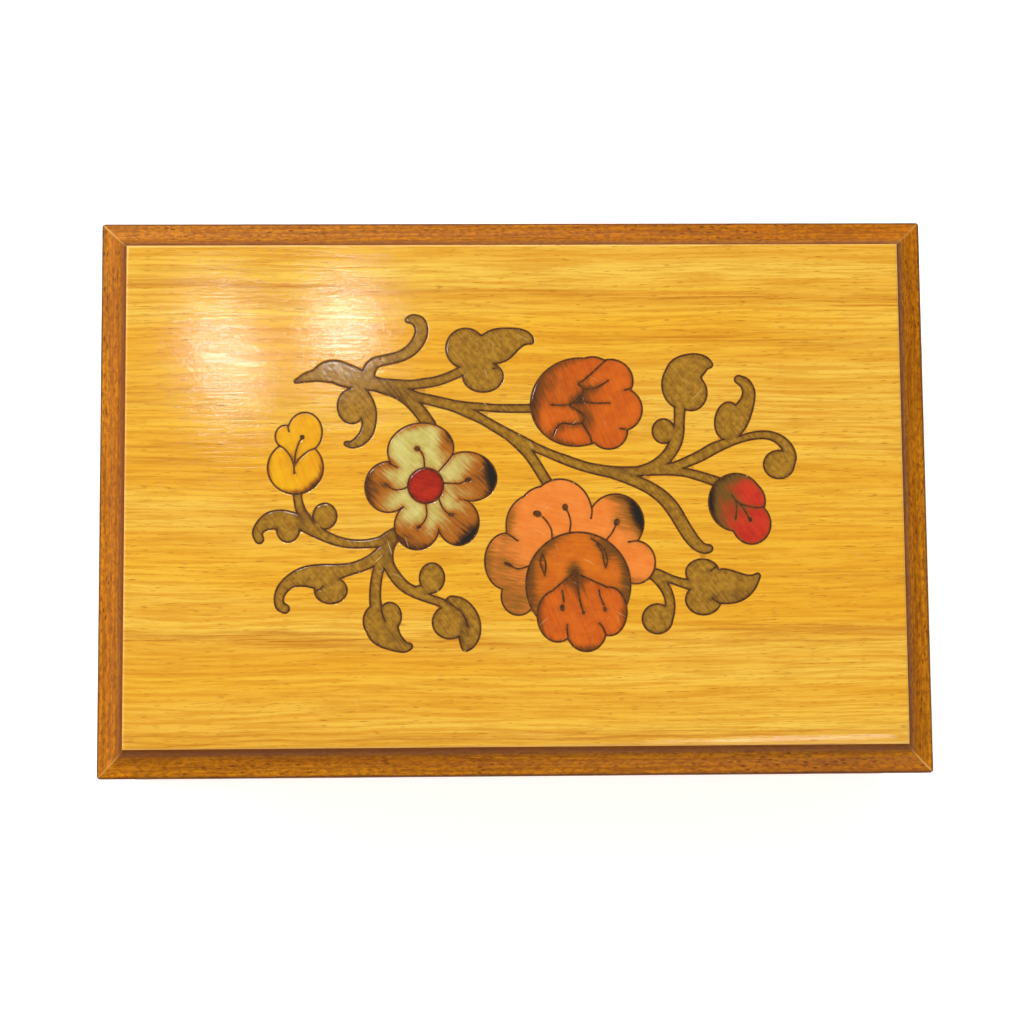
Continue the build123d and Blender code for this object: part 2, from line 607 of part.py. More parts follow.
# Inlaid pieces: name, lobes, strokes, saw cuts across it and the pieces that lie in front of it
half_kerf = kerf_width / 2 * pattern_scale
inlays = [
    ("inlay_rose_front_petals", rose_front_lobes, rose_front_strokes, rose_front_veins, ()),
    ("inlay_rose_heart", rose_heart_lobes, {}, rose_heart_veins, ("inlay_rose_front_petals",)),
    (
        "inlay_rose_outer_petals",
        rose_outer_lobes,
        {},
        rose_outer_veins,
        ("inlay_rose_front_petals", "inlay_rose_heart"),
    ),
    ("inlay_daisy_centre", daisy_centre_lobes, {}, (), ()),
    ("inlay_daisy_petals", daisy_lobes, {}, daisy_veins, ("inlay_daisy_centre",)),
    ("inlay_orange_bud", orange_bud_lobes, {}, orange_bud_veins, ()),
    ("inlay_red_bud", red_bud_lobes, {}, red_bud_veins, ()),
    ("inlay_yellow_tulip", tulip_lobes, {}, tulip_veins, ()),
    (
        "inlay_stems_and_leaves",
        leaf_lobes,
        leaf_strokes,
        leaf_veins,
        (
            "inlay_rose_outer_petals",
            "inlay_daisy_petals",
            "inlay_orange_bud",
            "inlay_red_bud",
            "inlay_yellow_tulip",
        ),
    ),
]
grown = {}
inlay_faces = {}
for name, lobes, strokes, veins, in_front in inlays:
    with BuildSketch() as outline:
        add_shapes(lobes, strokes, half_kerf)
    grown[name] = outline.sketch
    with BuildSketch() as inlay_face:
        add_shapes(lobes, strokes, -half_kerf)
        for neighbour in in_front:
            add(grown[neighbour], mode=Mode.SUBTRACT)
        add_veins(veins)
    inlay_faces[name] = inlay_face.sketch
    with BuildPart() as inlay:
        with BuildSketch(Plane.XY.offset(rail_top)):
            add(inlay_face.sketch)
        extrude(amount=veneer_thickness)
    save(inlay.part, name)

with BuildSketch() as pocket:
    for outline in grown.values():
        add(outline)

# Ground veneer of the lid with the pocket for the whole spray
with BuildPart() as lid_veneer:
    with BuildSketch(Plane.XY.offset(rail_top)):
        Rectangle(field_length, field_width)
        add(pocket.sketch, mode=Mode.SUBTRACT)
    extrude(amount=veneer_thickness)
save(lid_veneer.part, "lid_ground_veneer")

# Dark filler in all the saw cuts
with BuildPart() as kerf_filler:
    with BuildSketch(Plane.XY.offset(rail_top)):
        add(pocket.sketch)
        for face in inlay_faces.values():
            add(face, mode=Mode.SUBTRACT)
    extrude(amount=veneer_thickness)
save(kerf_filler.part, "kerf_filler")

# Hinges: three knuckles, the outer two on the box and the middle one on the lid
knuckle_length = hinge_length / 3
leaf_step = lid_gap / 2
for side, place in hinge_places.items():
    for carrier, level, spans in (
        ("box", -1, (-1, 1)),
        ("lid", 1, (0,)),
    ):
        with BuildPart() as leaf:
            with Locations((place, hinge_axis_y, hinge_axis_z + level * (leaf_step + leaf_thickness / 2))):
                Box(
                    hinge_length,
                    leaf_reach,
                    leaf_thickness,
                    align=(Align.CENTER, Align.MAX, Align.CENTER),
                )
            for span in (-1, 0, 1):
                mode = Mode.ADD if span in spans else Mode.SUBTRACT
                extra = -knuckle_gap / 2 if span in spans else knuckle_gap / 2
                reach = 0 if span in spans else knuckle_gap
                with Locations((place + span * knuckle_length, hinge_axis_y, hinge_axis_z)):
                    Cylinder(
                        knuckle_radius + reach,
                        knuckle_length + 2 * extra,
                        rotation=(0, 90, 0),
                        mode=mode,
                    )
            with Locations((place, hinge_axis_y, hinge_axis_z)):
                Cylinder(
                    pin_radius + pin_clearance,
                    2 * hinge_length,
                    rotation=(0, 90, 0),
                    mode=Mode.SUBTRACT,
                )
            for offset in (-screw_spacing / 2, screw_spacing / 2):
                seat = Location(
                    (place + offset, screw_y, hinge_axis_z + level * leaf_step),
                    (0, 0, 0) if level < 0 else (180, 0, 0),
                )
                with Locations(seat):
                    CounterSinkHole(screw_radius, screw_head_radius, depth=2 * leaf_thickness)
        save(leaf.part, f"hinge_{side}_{carrier}_leaf")
    with BuildPart() as pin:
        with Locations((place, hinge_axis_y, hinge_axis_z)):
            Cylinder(pin_radius, hinge_length, rotation=(0, 90, 0))
        for end in (-1, 1):
            with Locations((place + end * (hinge_length + pin_head_length) / 2, hinge_axis_y, hinge_axis_z)):
                Cylinder(pin_head_radius, pin_head_length, rotation=(0, 90, 0))
        fillet(pin.edges().group_by(Axis.X)[0], pin_head_length / 2)
        fillet(pin.edges().group_by(Axis.X)[-1], pin_head_length / 2)
    save(pin.part, f"hinge_{side}_pin")

# Screws: a countersunk head with a slot and a plain shank, set in the leaf and the wood
for carrier, level in (("box", -1), ("lid", 1)):
    with BuildPart() as screws:
        for x, y in screw_places:
            head_plane = Plane(
                origin=(x, y, hinge_axis_z + level * leaf_step),
                x_dir=(1, 0, 0),
                z_dir=(0, 0, level),
            )
            with BuildSketch(head_plane):
                Circle(screw_head_radius)
            extrude(amount=screw_head_radius - screw_radius, taper=45)
            with BuildSketch(head_plane):
                Circle(screw_radius)
            extrude(amount=screw_length)
            with BuildSketch(head_plane):
                Rectangle(2 * screw_head_radius, screw_slot_width, rotation=35)
            extrude(amount=screw_slot_depth, mode=Mode.SUBTRACT)
    save(screws.part, f"{carrier}_hinge_screws")
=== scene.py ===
import logging
import math
from collections.abc import Callable
from dataclasses import dataclass, field
from enum import Enum

import bmesh
import bpy
import numpy as np
from mathutils import Matrix, Vector
from mathutils.geometry import delaunay_2d_cdt


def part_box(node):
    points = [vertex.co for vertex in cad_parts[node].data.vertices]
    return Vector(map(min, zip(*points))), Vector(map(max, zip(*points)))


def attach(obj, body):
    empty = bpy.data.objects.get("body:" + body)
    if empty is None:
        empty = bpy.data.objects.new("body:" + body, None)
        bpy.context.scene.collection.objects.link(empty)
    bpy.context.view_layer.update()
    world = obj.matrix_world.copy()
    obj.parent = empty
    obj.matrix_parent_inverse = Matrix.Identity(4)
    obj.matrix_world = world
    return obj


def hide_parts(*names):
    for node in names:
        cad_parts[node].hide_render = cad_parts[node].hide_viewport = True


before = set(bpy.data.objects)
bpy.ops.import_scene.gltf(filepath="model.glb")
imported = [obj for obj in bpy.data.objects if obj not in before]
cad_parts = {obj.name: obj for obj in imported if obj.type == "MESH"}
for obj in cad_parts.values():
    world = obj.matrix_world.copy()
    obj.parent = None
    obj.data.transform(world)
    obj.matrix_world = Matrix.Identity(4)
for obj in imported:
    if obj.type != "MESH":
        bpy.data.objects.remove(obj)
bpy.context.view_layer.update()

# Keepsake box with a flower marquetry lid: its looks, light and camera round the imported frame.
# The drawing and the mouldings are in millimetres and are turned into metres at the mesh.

LOG = logging.getLogger("keepsake_box")
MM = 0.001
Rows = tuple[tuple[float, ...], ...]
Triple = tuple[float, float, float]
Color = tuple[float, float, float, float]
Socket = bpy.types.NodeSocket


@dataclass(frozen=True)
class BoxSizes:
    """Sizes of the box in millimetres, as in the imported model."""

    length: float = 156.0
    width: float = 105.0
    wall_thickness: float = 7.0
    overhang: float = 4.0
    lid_bottom: float = 51.2
    rail_top: float = 60.5
    lid_top: float = 61.2
    plinth_bottom: float = 1.0
    plinth_top: float = 10.0
    cove_width: float = 5.4
    cove_depth: float = 4.6
    plinth_cove_depth: float = 4.2
    arris: float = 0.7
    corner_radius: float = 0.9
    rebate_width: float = 3.5
    core_thickness: float = 4.0
    base_thickness: float = 5.0

    @property
    def field(self) -> tuple[float, float]:
        """Length and width of the veneered panel on the lid."""
        return self.length - 2 * self.cove_width, self.width - 2 * self.cove_width

    @property
    def rail_width(self) -> float:
        """Depth of a rail from its outer face to its inner face."""
        return self.overhang + self.wall_thickness


@dataclass(frozen=True)
class HingeSizes:
    """Places and sizes of the two hinges and their screws in millimetres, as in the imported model."""

    x: float = 42.0
    y: float = 49.0
    z: float = 51.1
    length: float = 22.0
    screw_spacing: float = 13.0
    screw_y: float = 45.1


SIZES = BoxSizes()
HINGES = HingeSizes()


@dataclass(frozen=True)
class Scorch:
    """One shaded place on a piece: centre, half sizes, turn in degrees and strength."""

    x: float
    y: float
    half_length: float
    half_height: float
    turn: float = 0.0
    strength: float = 1.0


@dataclass(frozen=True)
class Inlay:
    """One inlaid piece as it is drawn: its outline, the cuts across it and its shading.

    A lobe or dot is x, y, half length, half height and turn in degrees. A stroke's point is x, y and
    half width, and a cut's point is x and y.
    """

    name: str
    slot: str
    lobes: Rows = ()
    strokes: tuple[Rows, ...] = ()
    cuts: tuple[Rows, ...] = ()
    dots: Rows = ()
    in_front: tuple[str, ...] = ()
    scorches: tuple[Scorch, ...] = ()
    edge_scorch: float = 0.3


LEAF_LOBES: Rows = (
    (-30.4, 16.4, 2.65, 3.3, 0), (-9.1, 27.25, 3.7, 3.8, 0), (-5.9, 21.9, 3.75, 2.95, 0),
    (31.4, 20.2, 3.8, 4.6, 0),
    (33.0, 18.7, 3.0, 3.4, 0), (27.75, 11.45, 2.1, 2.3, 0), (39.8, 13.3, 2.4, 3.6, -8),
    (49.25, 5.05, 2.85, 2.65, 0),
    (34.6, -15.1, 3.1, 2.5, 0), (34.7, -20.1, 3.3, 2.85, 0), (26.1, -23.65, 2.8, 2.75, 0),
    (-35.4, -4.2, 2.2, 2.4, 0),
    (-42.2, -6.6, 2.1, 2.4, 0), (-34.3, -18.0, 3.0, 2.45, 0), (-23.4, -22.9, 2.1, 2.6, 0),
    (-26.0, -23.7, 2.3, 2.9, 0),
    (-15.6, -15.8, 2.3, 2.75, 0), (-12.3, -24.0, 3.25, 3.1, 0),
)
LEAF_STROKES: tuple[Rows, ...] = (
    # upper left leaf with the long tip
    ((-40.8, 21.1, 0.3), (-38.8, 21.85, 0.85), (-36.9, 22.3, 1.15), (-35.2, 22.85, 1.85), (-33.5, 22.9, 2.15),
     (-31.5, 22.2, 2.15), (-29.5, 21.6, 1.9), (-27.5, 20.9, 1.45), (-25.2, 20.35, 1.25)),
    # comma leaf
    ((-29.3, 19.5, 1.3), (-28.2, 17.5, 1.6), (-27.4, 15.4, 1.55), (-27.2, 13.2, 1.25), (-27.7, 11.3, 1.15),
     (-28.9, 9.9, 0.95), (-30.3, 9.2, 0.65), (-31.4, 9.35, 0.4)),
    # tendril
    ((-27.3, 21.6, 1.1), (-27.1, 23.2, 1.15), (-26.1, 24.5, 1.0), (-24.0, 25.1, 0.92), (-21.5, 25.7, 0.95),
     (-19.4, 26.9, 1.05), (-18.0, 28.6, 1.13), (-17.35, 30.5, 1.15), (-17.75, 32.1, 1.15),
     (-18.9, 32.8, 0.85), (-19.85, 32.65, 0.5)),
    # upper stem
    ((-25.2, 20.35, 1.2), (-23.0, 20.3, 1.1), (-21.0, 20.35, 0.9), (-19.0, 20.4, 0.82), (-16.7, 20.7, 0.85),
     (-15.0, 20.95, 0.82), (-13.3, 21.45, 0.82), (-11.2, 22.3, 0.82), (-9.0, 23.4, 0.9)),
    # pointed lobe of the upper leaf
    ((-7.0, 26.6, 2.9), (-5.0, 27.1, 2.8), (-3.1, 27.7, 3.2), (-1.1, 28.6, 2.45), (0.8, 29.2, 1.7),
     (2.3, 29.1, 1.1), (3.15, 28.5, 0.45)),
    # main stem
    ((-25.2, 20.2, 1.2), (-22.6, 19.4, 1.25), (-20.0, 18.6, 1.05), (-18.0, 18.0, 0.9), (-16.0, 17.55, 0.9),
     (-13.6, 16.95, 0.95), (-11.2, 16.3, 1.0), (-8.9, 15.25, 0.98), (-6.2, 13.85, 0.82), (-3.5, 12.25, 0.85),
     (-1.0, 10.8, 0.95), (1.3, 9.55, 1.0), (3.8, 8.45, 0.78), (6.6, 7.2, 0.75), (9.0, 6.25, 0.83),
     (11.4, 5.35, 0.85), (13.8, 4.6, 0.87), (16.1, 4.1, 0.95), (18.3, 3.75, 1.05), (20.5, 3.7, 1.0),
     (23.0, 3.9, 0.85), (25.5, 4.1, 0.9), (28.0, 4.35, 0.95)),
    # branch to the daisy
    ((-22.6, 19.4, 1.2), (-20.5, 18.2, 1.2), (-18.8, 16.6, 1.15), (-17.3, 14.8, 1.15), (-16.0, 12.8, 1.2)),
    # branch to the orange bud
    ((-11.2, 16.4, 0.95), (-8.9, 16.3, 0.72), (-6.5, 16.15, 0.67), (-4.1, 15.95, 0.66), (-1.7, 15.85, 0.7),
     (0.7, 15.83, 0.72), (3.6, 15.83, 0.72)),
    # branch to the rose
    ((-0.8, 10.5, 0.9), (0.9, 9.2, 1.1), (2.5, 7.3, 0.95), (3.9, 5.2, 0.9), (5.1, 3.2, 0.9), (6.2, 1.4, 0.9)),
    # long blade
    ((18.3, 3.6, 1.0), (20.8, 2.75, 1.05), (23.2, 1.7, 1.05), (25.6, 0.4, 1.1), (27.8, -1.35, 1.2),
     (29.5, -3.5, 1.25), (30.9, -5.9, 1.2), (32.3, -8.2, 1.18), (33.7, -9.9, 1.05), (35.0, -10.65, 0.85),
     (35.85, -10.65, 0.72)),
    # branch to the red bud
    ((26.0, 4.1, 0.9), (28.8, 4.05, 0.85), (31.5, 3.7, 0.75), (34.0, 3.05, 0.8), (36.2, 2.35, 0.85),
     (38.0, 1.7, 0.9)),
    # stem and tip of the big leaf
    ((23.0, 3.9, 0.85), (25.4, 4.6, 1.0), (27.4, 5.8, 1.1), (28.9, 7.4, 1.1), (29.95, 9.3, 1.15),
     (30.5, 11.3, 1.05), (30.72, 13.3, 0.9), (30.85, 15.7, 1.0)),
    ((31.0, 21.2, 3.0), (31.5, 22.6, 2.9), (33.4, 23.6, 2.45), (35.2, 24.25, 1.45), (36.5, 24.0, 0.65)),
    # right stem and its leaf
    ((28.0, 4.35, 0.95), (29.8, 4.75, 0.85), (32.0, 5.6, 0.88), (34.7, 6.8, 0.97), (37.0, 8.1, 1.0),
     (39.4, 9.1, 0.85), (41.8, 9.8, 0.62), (44.2, 10.45, 0.66), (46.5, 10.67, 0.7), (48.4, 10.3, 0.78),
     (49.9, 9.4, 0.9), (50.95, 8.1, 1.0), (51.35, 6.5, 1.15), (50.9, 5.0, 1.2)),
    ((40.3, 11.2, 1.7), (41.35, 13.2, 2.15), (42.6, 15.1, 1.75), (43.55, 17.0, 1.3), (43.85, 18.8, 1.12),
     (43.2, 20.4, 0.98), (42.0, 21.15, 0.75)),
    # lower right leaf and curl
    ((24.6, -15.0, 1.0), (26.5, -15.55, 0.95), (28.7, -16.3, 0.72), (31.0, -17.05, 0.78), (33.2, -17.5, 1.0)),
    ((36.0, -17.5, 2.6), (38.3, -17.65, 3.2), (40.5, -17.85, 2.8), (42.4, -17.5, 1.95), (43.9, -16.7, 1.05),
     (44.85, -15.8, 0.5)),
    ((25.2, -15.2, 0.95), (26.6, -16.5, 0.95), (27.8, -18.3, 0.88), (28.42, -20.2, 0.85),
     (28.35, -22.0, 0.95), (27.6, -23.6, 1.3), (26.6, -24.5, 1.6)),
    # stem of the tulip and the hooked leaf
    ((-40.5, 0.6, 0.72), (-40.35, -1.2, 0.74), (-39.8, -3.2, 0.85), (-38.7, -5.2, 1.1)),
    ((-39.3, -5.6, 1.15), (-41.4, -5.0, 1.5), (-43.4, -4.8, 1.75), (-45.3, -4.95, 1.6), (-46.9, -5.8, 1.15),
     (-47.85, -7.2, 0.88), (-47.5, -8.45, 0.78)),
    # left stem
    ((-40.0, -5.6, 1.0), (-38.1, -6.3, 1.25), (-36.0, -7.6, 0.98), (-33.8, -8.6, 0.85), (-31.4, -9.25, 0.78),
     (-29.0, -9.42, 0.72), (-27.0, -9.3, 0.75), (-25.0, -9.0, 0.95), (-23.3, -8.2, 1.2), (-21.8, -7.4, 1.2)),
    # lower trunk and the neck of the round leaf
    ((-22.3, -7.6, 1.0), (-23.7, -9.6, 1.25), (-24.1, -11.6, 1.25), (-23.5, -13.6, 1.0), (-22.2, -15.7, 1.0),
     (-20.6, -17.4, 0.95), (-18.6, -18.5, 0.95), (-16.2, -19.6, 0.75), (-14.2, -20.3, 0.75),
     (-12.4, -21.3, 0.9)),
    ((-18.4, -18.3, 0.95), (-16.8, -17.9, 1.0), (-15.6, -17.2, 1.4)),
    # long hooked leaf
    ((-24.6, -11.0, 1.3), (-26.5, -12.4, 1.12), (-28.6, -13.4, 1.05), (-30.7, -14.05, 1.05),
     (-33.2, -14.6, 1.4), (-36.0, -15.4, 2.2), (-38.9, -15.4, 1.8), (-41.5, -16.15, 1.2),
     (-43.2, -17.7, 0.97), (-43.85, -19.4, 0.83), (-43.6, -20.8, 0.82), (-42.75, -21.35, 0.8)),
    # middle stem and its leaf tip
    ((-25.0, -12.3, 1.1), (-25.55, -14.4, 0.95), (-26.0, -16.9, 0.95), (-26.12, -19.4, 0.98),
     (-25.9, -21.6, 1.05)),
    ((-25.2, -24.4, 2.75), (-24.6, -25.6, 2.75), (-23.1, -27.2, 1.85), (-21.0, -28.5, 1.0),
     (-19.9, -28.45, 0.62)),
    # crescent of the lower leaf
    ((-11.9, -20.4, 1.2), (-10.5, -21.5, 1.9), (-9.2, -23.5, 2.2), (-8.75, -25.6, 2.05), (-8.95, -27.3, 1.6),
     (-9.4, -28.6, 0.8)),
)
LEAF_CUTS: tuple[Rows, ...] = (
    ((-37.2, -18.1), (-36.3, -17.8), (-35.7, -17.2)),
    ((-25.1, -20.6), (-24.8, -22.4), (-24.3, -23.8)),
    ((-13.4, -19.8), (-11.7, -21.0), (-10.3, -22.1), (-9.45, -23.4), (-9.05, -24.9)),
    ((-2.9, 23.6), (-4.0, 23.4)),
    ((37.6, -13.7), (36.1, -14.8)),
    ((37.6, -20.8), (36.3, -19.9)),
)

INLAYS: tuple[Inlay, ...] = (
    Inlay(
        "rose_front_petals", "orange_veneer",
        lobes=((7.6, -23.0, 3.75, 4.8, 0), (12.9, -25.6, 3.7, 4.0, 0), (17.2, -22.2, 3.25, 4.5, 0)),
        strokes=(
            ((10.8, -15.2, 0.25), (7.9, -22.2, 3.8)),
            ((10.8, -15.2, 0.25), (12.6, -24.0, 3.2)),
            ((10.8, -15.2, 0.25), (16.8, -21.0, 3.0)),
        ),
        cuts=(
            ((8.5, -18.3), (8.6, -18.9), (8.75, -20.4)),
            ((11.3, -17.0), (11.5, -18.9), (11.86, -20.6), (12.3, -22.0)),
            ((15.3, -18.2), (15.5, -19.4), (16.2, -20.9)),
            ((9.5, -27.2), (9.35, -25.6), (9.4, -24.6)),
            ((16.5, -26.5), (16.0, -25.2), (15.3, -24.4)),
        ),
        dots=((8.5, -21.5, 0.45, 0.6, 0), (12.4, -22.4, 0.3, 0.3, 0), (16.4, -21.8, 0.35, 0.45, 20)),
        scorches=(
            Scorch(10.9, -16.2, 2.0, 2.2, 0, 0.75), Scorch(3.9, -22.5, 1.2, 4.0, 10, 0.45),
            Scorch(12.9, -29.4, 3.2, 0.9, 0, 0.55), Scorch(20.3, -23.0, 0.9, 3.6, 0, 0.45),
        ),
        edge_scorch=0.35,
    ),
    Inlay(
        "rose_heart", "heart_orange_veneer",
        lobes=((11.5, -17.2, 9.7, 9.75, 0),),
        cuts=(
            ((14.0, -8.6), (15.7, -9.9), (16.6, -11.3), (16.95, -12.9), (16.6, -14.1)),
            ((15.0, -9.6), (16.0, -11.2), (16.3, -12.9), (16.6, -14.1)),
            ((4.9, -11.4), (4.5, -13.0), (5.3, -15.5)),
            ((4.9, -11.4), (5.5, -13.4), (5.3, -15.5)),
        ),
        in_front=("rose_front_petals",),
        scorches=(
            Scorch(10.8, -14.6, 1.3, 1.6, 0, 0.8), Scorch(2.4, -16.0, 1.6, 7.0, 4, 0.65),
            Scorch(20.6, -15.5, 1.4, 6.5, -4, 0.62), Scorch(17.5, -10.6, 2.8, 1.6, -40, 0.6),
            Scorch(6.0, -10.0, 3.0, 1.4, 35, 0.45),
        ),
        edge_scorch=0.3,
    ),
    Inlay(
        "rose_outer_petals", "peach_veneer",
        lobes=(
            (8.3, -4.2, 5.95, 6.7, 0), (3.4, -6.2, 5.2, 5.9, 0), (5.5, -3.2, 4.8, 4.4, 0),
            (18.6, -5.7, 5.2, 5.35, 0),
            (22.2, -13.1, 3.65, 4.0, 0), (-1.8, -12.8, 4.0, 5.25, 0), (0.4, -19.3, 3.2, 3.5, 0),
            (10.0, -13.0, 11.0, 7.5, 0),
        ),
        cuts=(
            ((6.7, -8.6), (6.6, -7.0), (5.9, -5.6), (4.95, -4.5)),
            ((9.95, -7.7), (10.2, -5.6), (9.8, -3.9), (9.4, -3.2)),
            ((16.8, -8.9), (17.8, -7.7), (18.5, -6.4)),
            ((2.3, -13.7), (1.1, -14.1), (0.2, -14.2), (-0.7, -13.8)),
            ((-1.9, -7.4), (-0.76, -8.2), (0.2, -8.9)),
            ((14.2, -2.5), (14.2, -3.6), (14.05, -4.7)),
            ((22.6, -9.1), (21.0, -9.3)),
        ),
        dots=(
            (4.0, -3.95, 0.8, 0.6, -15), (9.2, -2.75, 0.55, 0.65, 0), (18.8, -5.6, 0.55, 0.7, -20),
            (-1.5, -13.35, 0.9, 0.35, -25), (0.35, -8.95, 0.2, 0.15, 0), (14.0, -4.8, 0.2, 0.25, 0),
            (21.0, -9.3, 0.25, 0.2, 0),
        ),
        in_front=("rose_front_petals", "rose_heart"),
        scorches=(
            Scorch(23.3, -4.8, 1.5, 4.2, 22, 1.45), Scorch(20.6, -4.4, 2.4, 4.0, 22, 0.45),
            Scorch(-1.2, -5.0, 1.4, 3.6, -15, 0.5),
            Scorch(-2.6, -14.0, 4.2, 5.4, 0, 0.42), Scorch(-5.6, -12.6, 1.2, 3.6, 0, 0.4),
            Scorch(0.0, -20.6, 3.4, 3.4, 0, 0.5), Scorch(19.6, -1.0, 3.4, 0.9, -15, 0.5),
            Scorch(22.0, -16.6, 2.2, 0.9, 10, 0.3),
        ),
        edge_scorch=0.18,
    ),
    Inlay(
        "daisy_centre", "centre_red_veneer",
        lobes=((-16.7, 1.4, 3.3, 3.3, 0),),
        scorches=(Scorch(-16.7, 1.4, 1.0, 1.0, 0, 0.12),),
        edge_scorch=0.5,
    ),
    Inlay(
        "daisy_petals", "cream_scorched_veneer",
        lobes=(
            (-17.6, 8.2, 6.15, 4.95, 8), (-8.8, 3.1, 5.35, 4.55, -15), (-10.7, -5.4, 3.85, 4.35, 0),
            (-18.35, -6.1, 4.15, 4.45, 0), (-23.6, 1.2, 4.35, 4.75, 0), (-16.2, 1.2, 6.5, 5.5, 0),
            (-14.6, -3.6, 2.8, 2.7, 0),
        ),
        cuts=(
            ((-16.9, 4.6), (-17.0, 6.5), (-17.5, 7.7), (-18.0, 8.1)),
            ((-13.5, 1.9), (-11.7, 1.8), (-10.3, 1.8), (-9.3, 2.2)),
            ((-19.9, 1.3), (-21.2, 0.7), (-22.6, 0.7), (-23.6, 1.3)),
            ((-16.7, -1.8), (-16.5, -3.9), (-17.0, -5.3), (-17.7, -6.1)),
            ((-14.3, -1.0), (-13.6, -2.7), (-12.9, -3.55), (-12.3, -3.95)),
            ((-11.6, 7.3), (-12.4, 6.2), (-13.6, 4.8), (-14.6, 3.8)),
            ((-23.4, 5.6), (-21.9, 4.8)),
            ((-21.9, -3.7), (-21.4, -2.8)),
            ((-8.6, -1.5), (-9.5, -1.3)),
        ),
        dots=(
            (-18.25, 8.35, 0.55, 0.5, 0), (-8.85, 2.45, 0.7, 0.4, 20), (-23.9, 1.5, 0.55, 0.3, -20),
            (-18.0, -6.3, 0.5, 0.35, 20), (-12.0, -4.05, 0.65, 0.4, -10),
        ),
        in_front=("daisy_centre",),
        scorches=(
            Scorch(-3.4, 2.6, 1.5, 4.2, 12, 1.4), Scorch(-6.0, 2.8, 3.8, 5.0, 0, 0.8),
            Scorch(-8.0, -9.0, 3.6, 1.5, 38, 1.4), Scorch(-9.4, -6.6, 4.0, 3.6, 0, 0.8),
            Scorch(-27.2, 1.0, 3.0, 5.0, 0, 0.75), Scorch(-24.5, 1.0, 2.8, 3.6, 0, 0.25),
            Scorch(-18.6, -9.6, 4.6, 3.2, 0, 0.75), Scorch(-20.8, -7.0, 1.8, 3.0, 0, 0.35),
            Scorch(-12.4, 10.2, 1.7, 3.4, -18, 0.8), Scorch(-19.0, 12.6, 4.0, 1.0, 8, 0.35),
            Scorch(-11.6, 0.2, 2.2, 1.2, 0, 0.25), Scorch(-23.6, 5.4, 2.2, 0.9, 0, 0.35),
        ),
        edge_scorch=0.4,
    ),
    Inlay(
        "orange_bud", "orange_veneer",
        lobes=(
            (11.8, 17.0, 8.9, 8.25, 20), (14.6, 21.2, 4.2, 4.35, 0), (17.9, 21.0, 4.25, 4.05, 0),
            (19.9, 15.6, 3.9, 4.05, 0), (17.5, 11.5, 3.5, 3.4, 0),
        ),
        cuts=(
            ((17.4, 25.1), (15.7, 23.6), (14.2, 22.2), (12.9, 21.1), (11.9, 20.4), (12.7, 19.8), (12.8, 18.6),
             (12.0, 17.5), (11.2, 16.95), (10.2, 16.5), (11.4, 15.6), (12.6, 14.8), (13.05, 13.86),
             (12.6, 13.1), (13.3, 11.8), (14.0, 10.5), (14.4, 8.9)),
            ((10.2, 16.5), (8.5, 16.4), (6.8, 16.5)),
            ((12.8, 19.4), (14.95, 19.6), (16.4, 20.3), (17.6, 21.1)),
            ((12.3, 17.3), (14.7, 16.8), (17.8, 16.8)),
            ((12.4, 13.0), (10.9, 12.8), (8.9, 13.0), (7.8, 12.2), (7.1, 10.8)),
            ((21.8, 19.6), (20.5, 19.2)),
            ((21.3, 11.7), (19.6, 12.0)),
        ),
        scorches=(
            Scorch(3.4, 16.2, 1.6, 6.5, -6, 0.75), Scorch(11.8, 17.2, 1.8, 1.2, 15, 0.7),
            Scorch(6.6, 20.4, 3.2, 2.8, 30, 0.4),
            Scorch(13.6, 19.0, 2.2, 1.4, 30, 0.45), Scorch(13.6, 14.0, 1.6, 2.2, 20, 0.55),
            Scorch(9.2, 12.2, 3.0, 1.0, 10, 0.3), Scorch(8.6, 9.4, 3.4, 0.9, -15, 0.45),
            Scorch(8.8, 24.0, 3.6, 0.9, 18, 0.3),
        ),
        edge_scorch=0.35,
    ),
    Inlay(
        "red_bud", "bud_red_veneer",
        lobes=((41.1, -2.0, 5.1, 5.4, 0), (42.6, -1.8, 3.95, 3.95, 0), (43.9, -6.0, 3.6, 3.85, 0)),
        cuts=(
            ((46.7, -2.6), (45.6, -3.0), (44.2, -2.95), (42.5, -2.5), (41.3, -1.9), (40.3, -0.6)),
            ((41.0, -1.6), (41.2, -2.7), (41.1, -4.1), (40.95, -5.2)),
            ((41.5, -2.0), (42.3, -2.95), (43.0, -4.1), (43.5, -5.2)),
        ),
        dots=((43.7, -5.3, 0.35, 0.4, 0),),
        scorches=(
            Scorch(36.0, -2.0, 1.1, 5.2, 6, 1.1), Scorch(37.6, 0.4, 2.9, 4.4, 25, 0.62),
            Scorch(39.8, 3.0, 3.4, 1.4, 0, 0.55), Scorch(38.2, -6.0, 1.4, 2.4, 25, 0.4),
        ),
        edge_scorch=0.3,
    ),
    Inlay(
        "yellow_tulip", "yellow_veneer",
        lobes=((-39.1, 11.5, 3.2, 3.75, 0), (-42.75, 10.75, 1.85, 2.1, 0), (-40.85, 4.9, 5.15, 4.95, 0)),
        cuts=(
            ((-44.2, 9.1), (-43.1, 8.6), (-41.9, 7.2), (-41.2, 5.5), (-41.1, 4.0)),
            ((-41.0, 5.8), (-40.8, 7.7), (-40.2, 9.6), (-39.7, 10.3)),
            ((-41.0, 5.2), (-40.2, 6.5), (-38.6, 7.9), (-37.2, 8.5)),
            ((-42.3, 12.7), (-42.05, 11.6)),
        ),
        dots=((-39.6, 10.6, 0.45, 0.45, 0), (-41.05, 3.9, 0.22, 0.22, 0)),
        scorches=(
            Scorch(-37.2, 1.6, 2.2, 0.9, 40, 0.9), Scorch(-40.4, 0.2, 3.4, 0.6, 0, 0.6),
            Scorch(-36.0, 4.5, 0.5, 2.6, 0, 0.4),
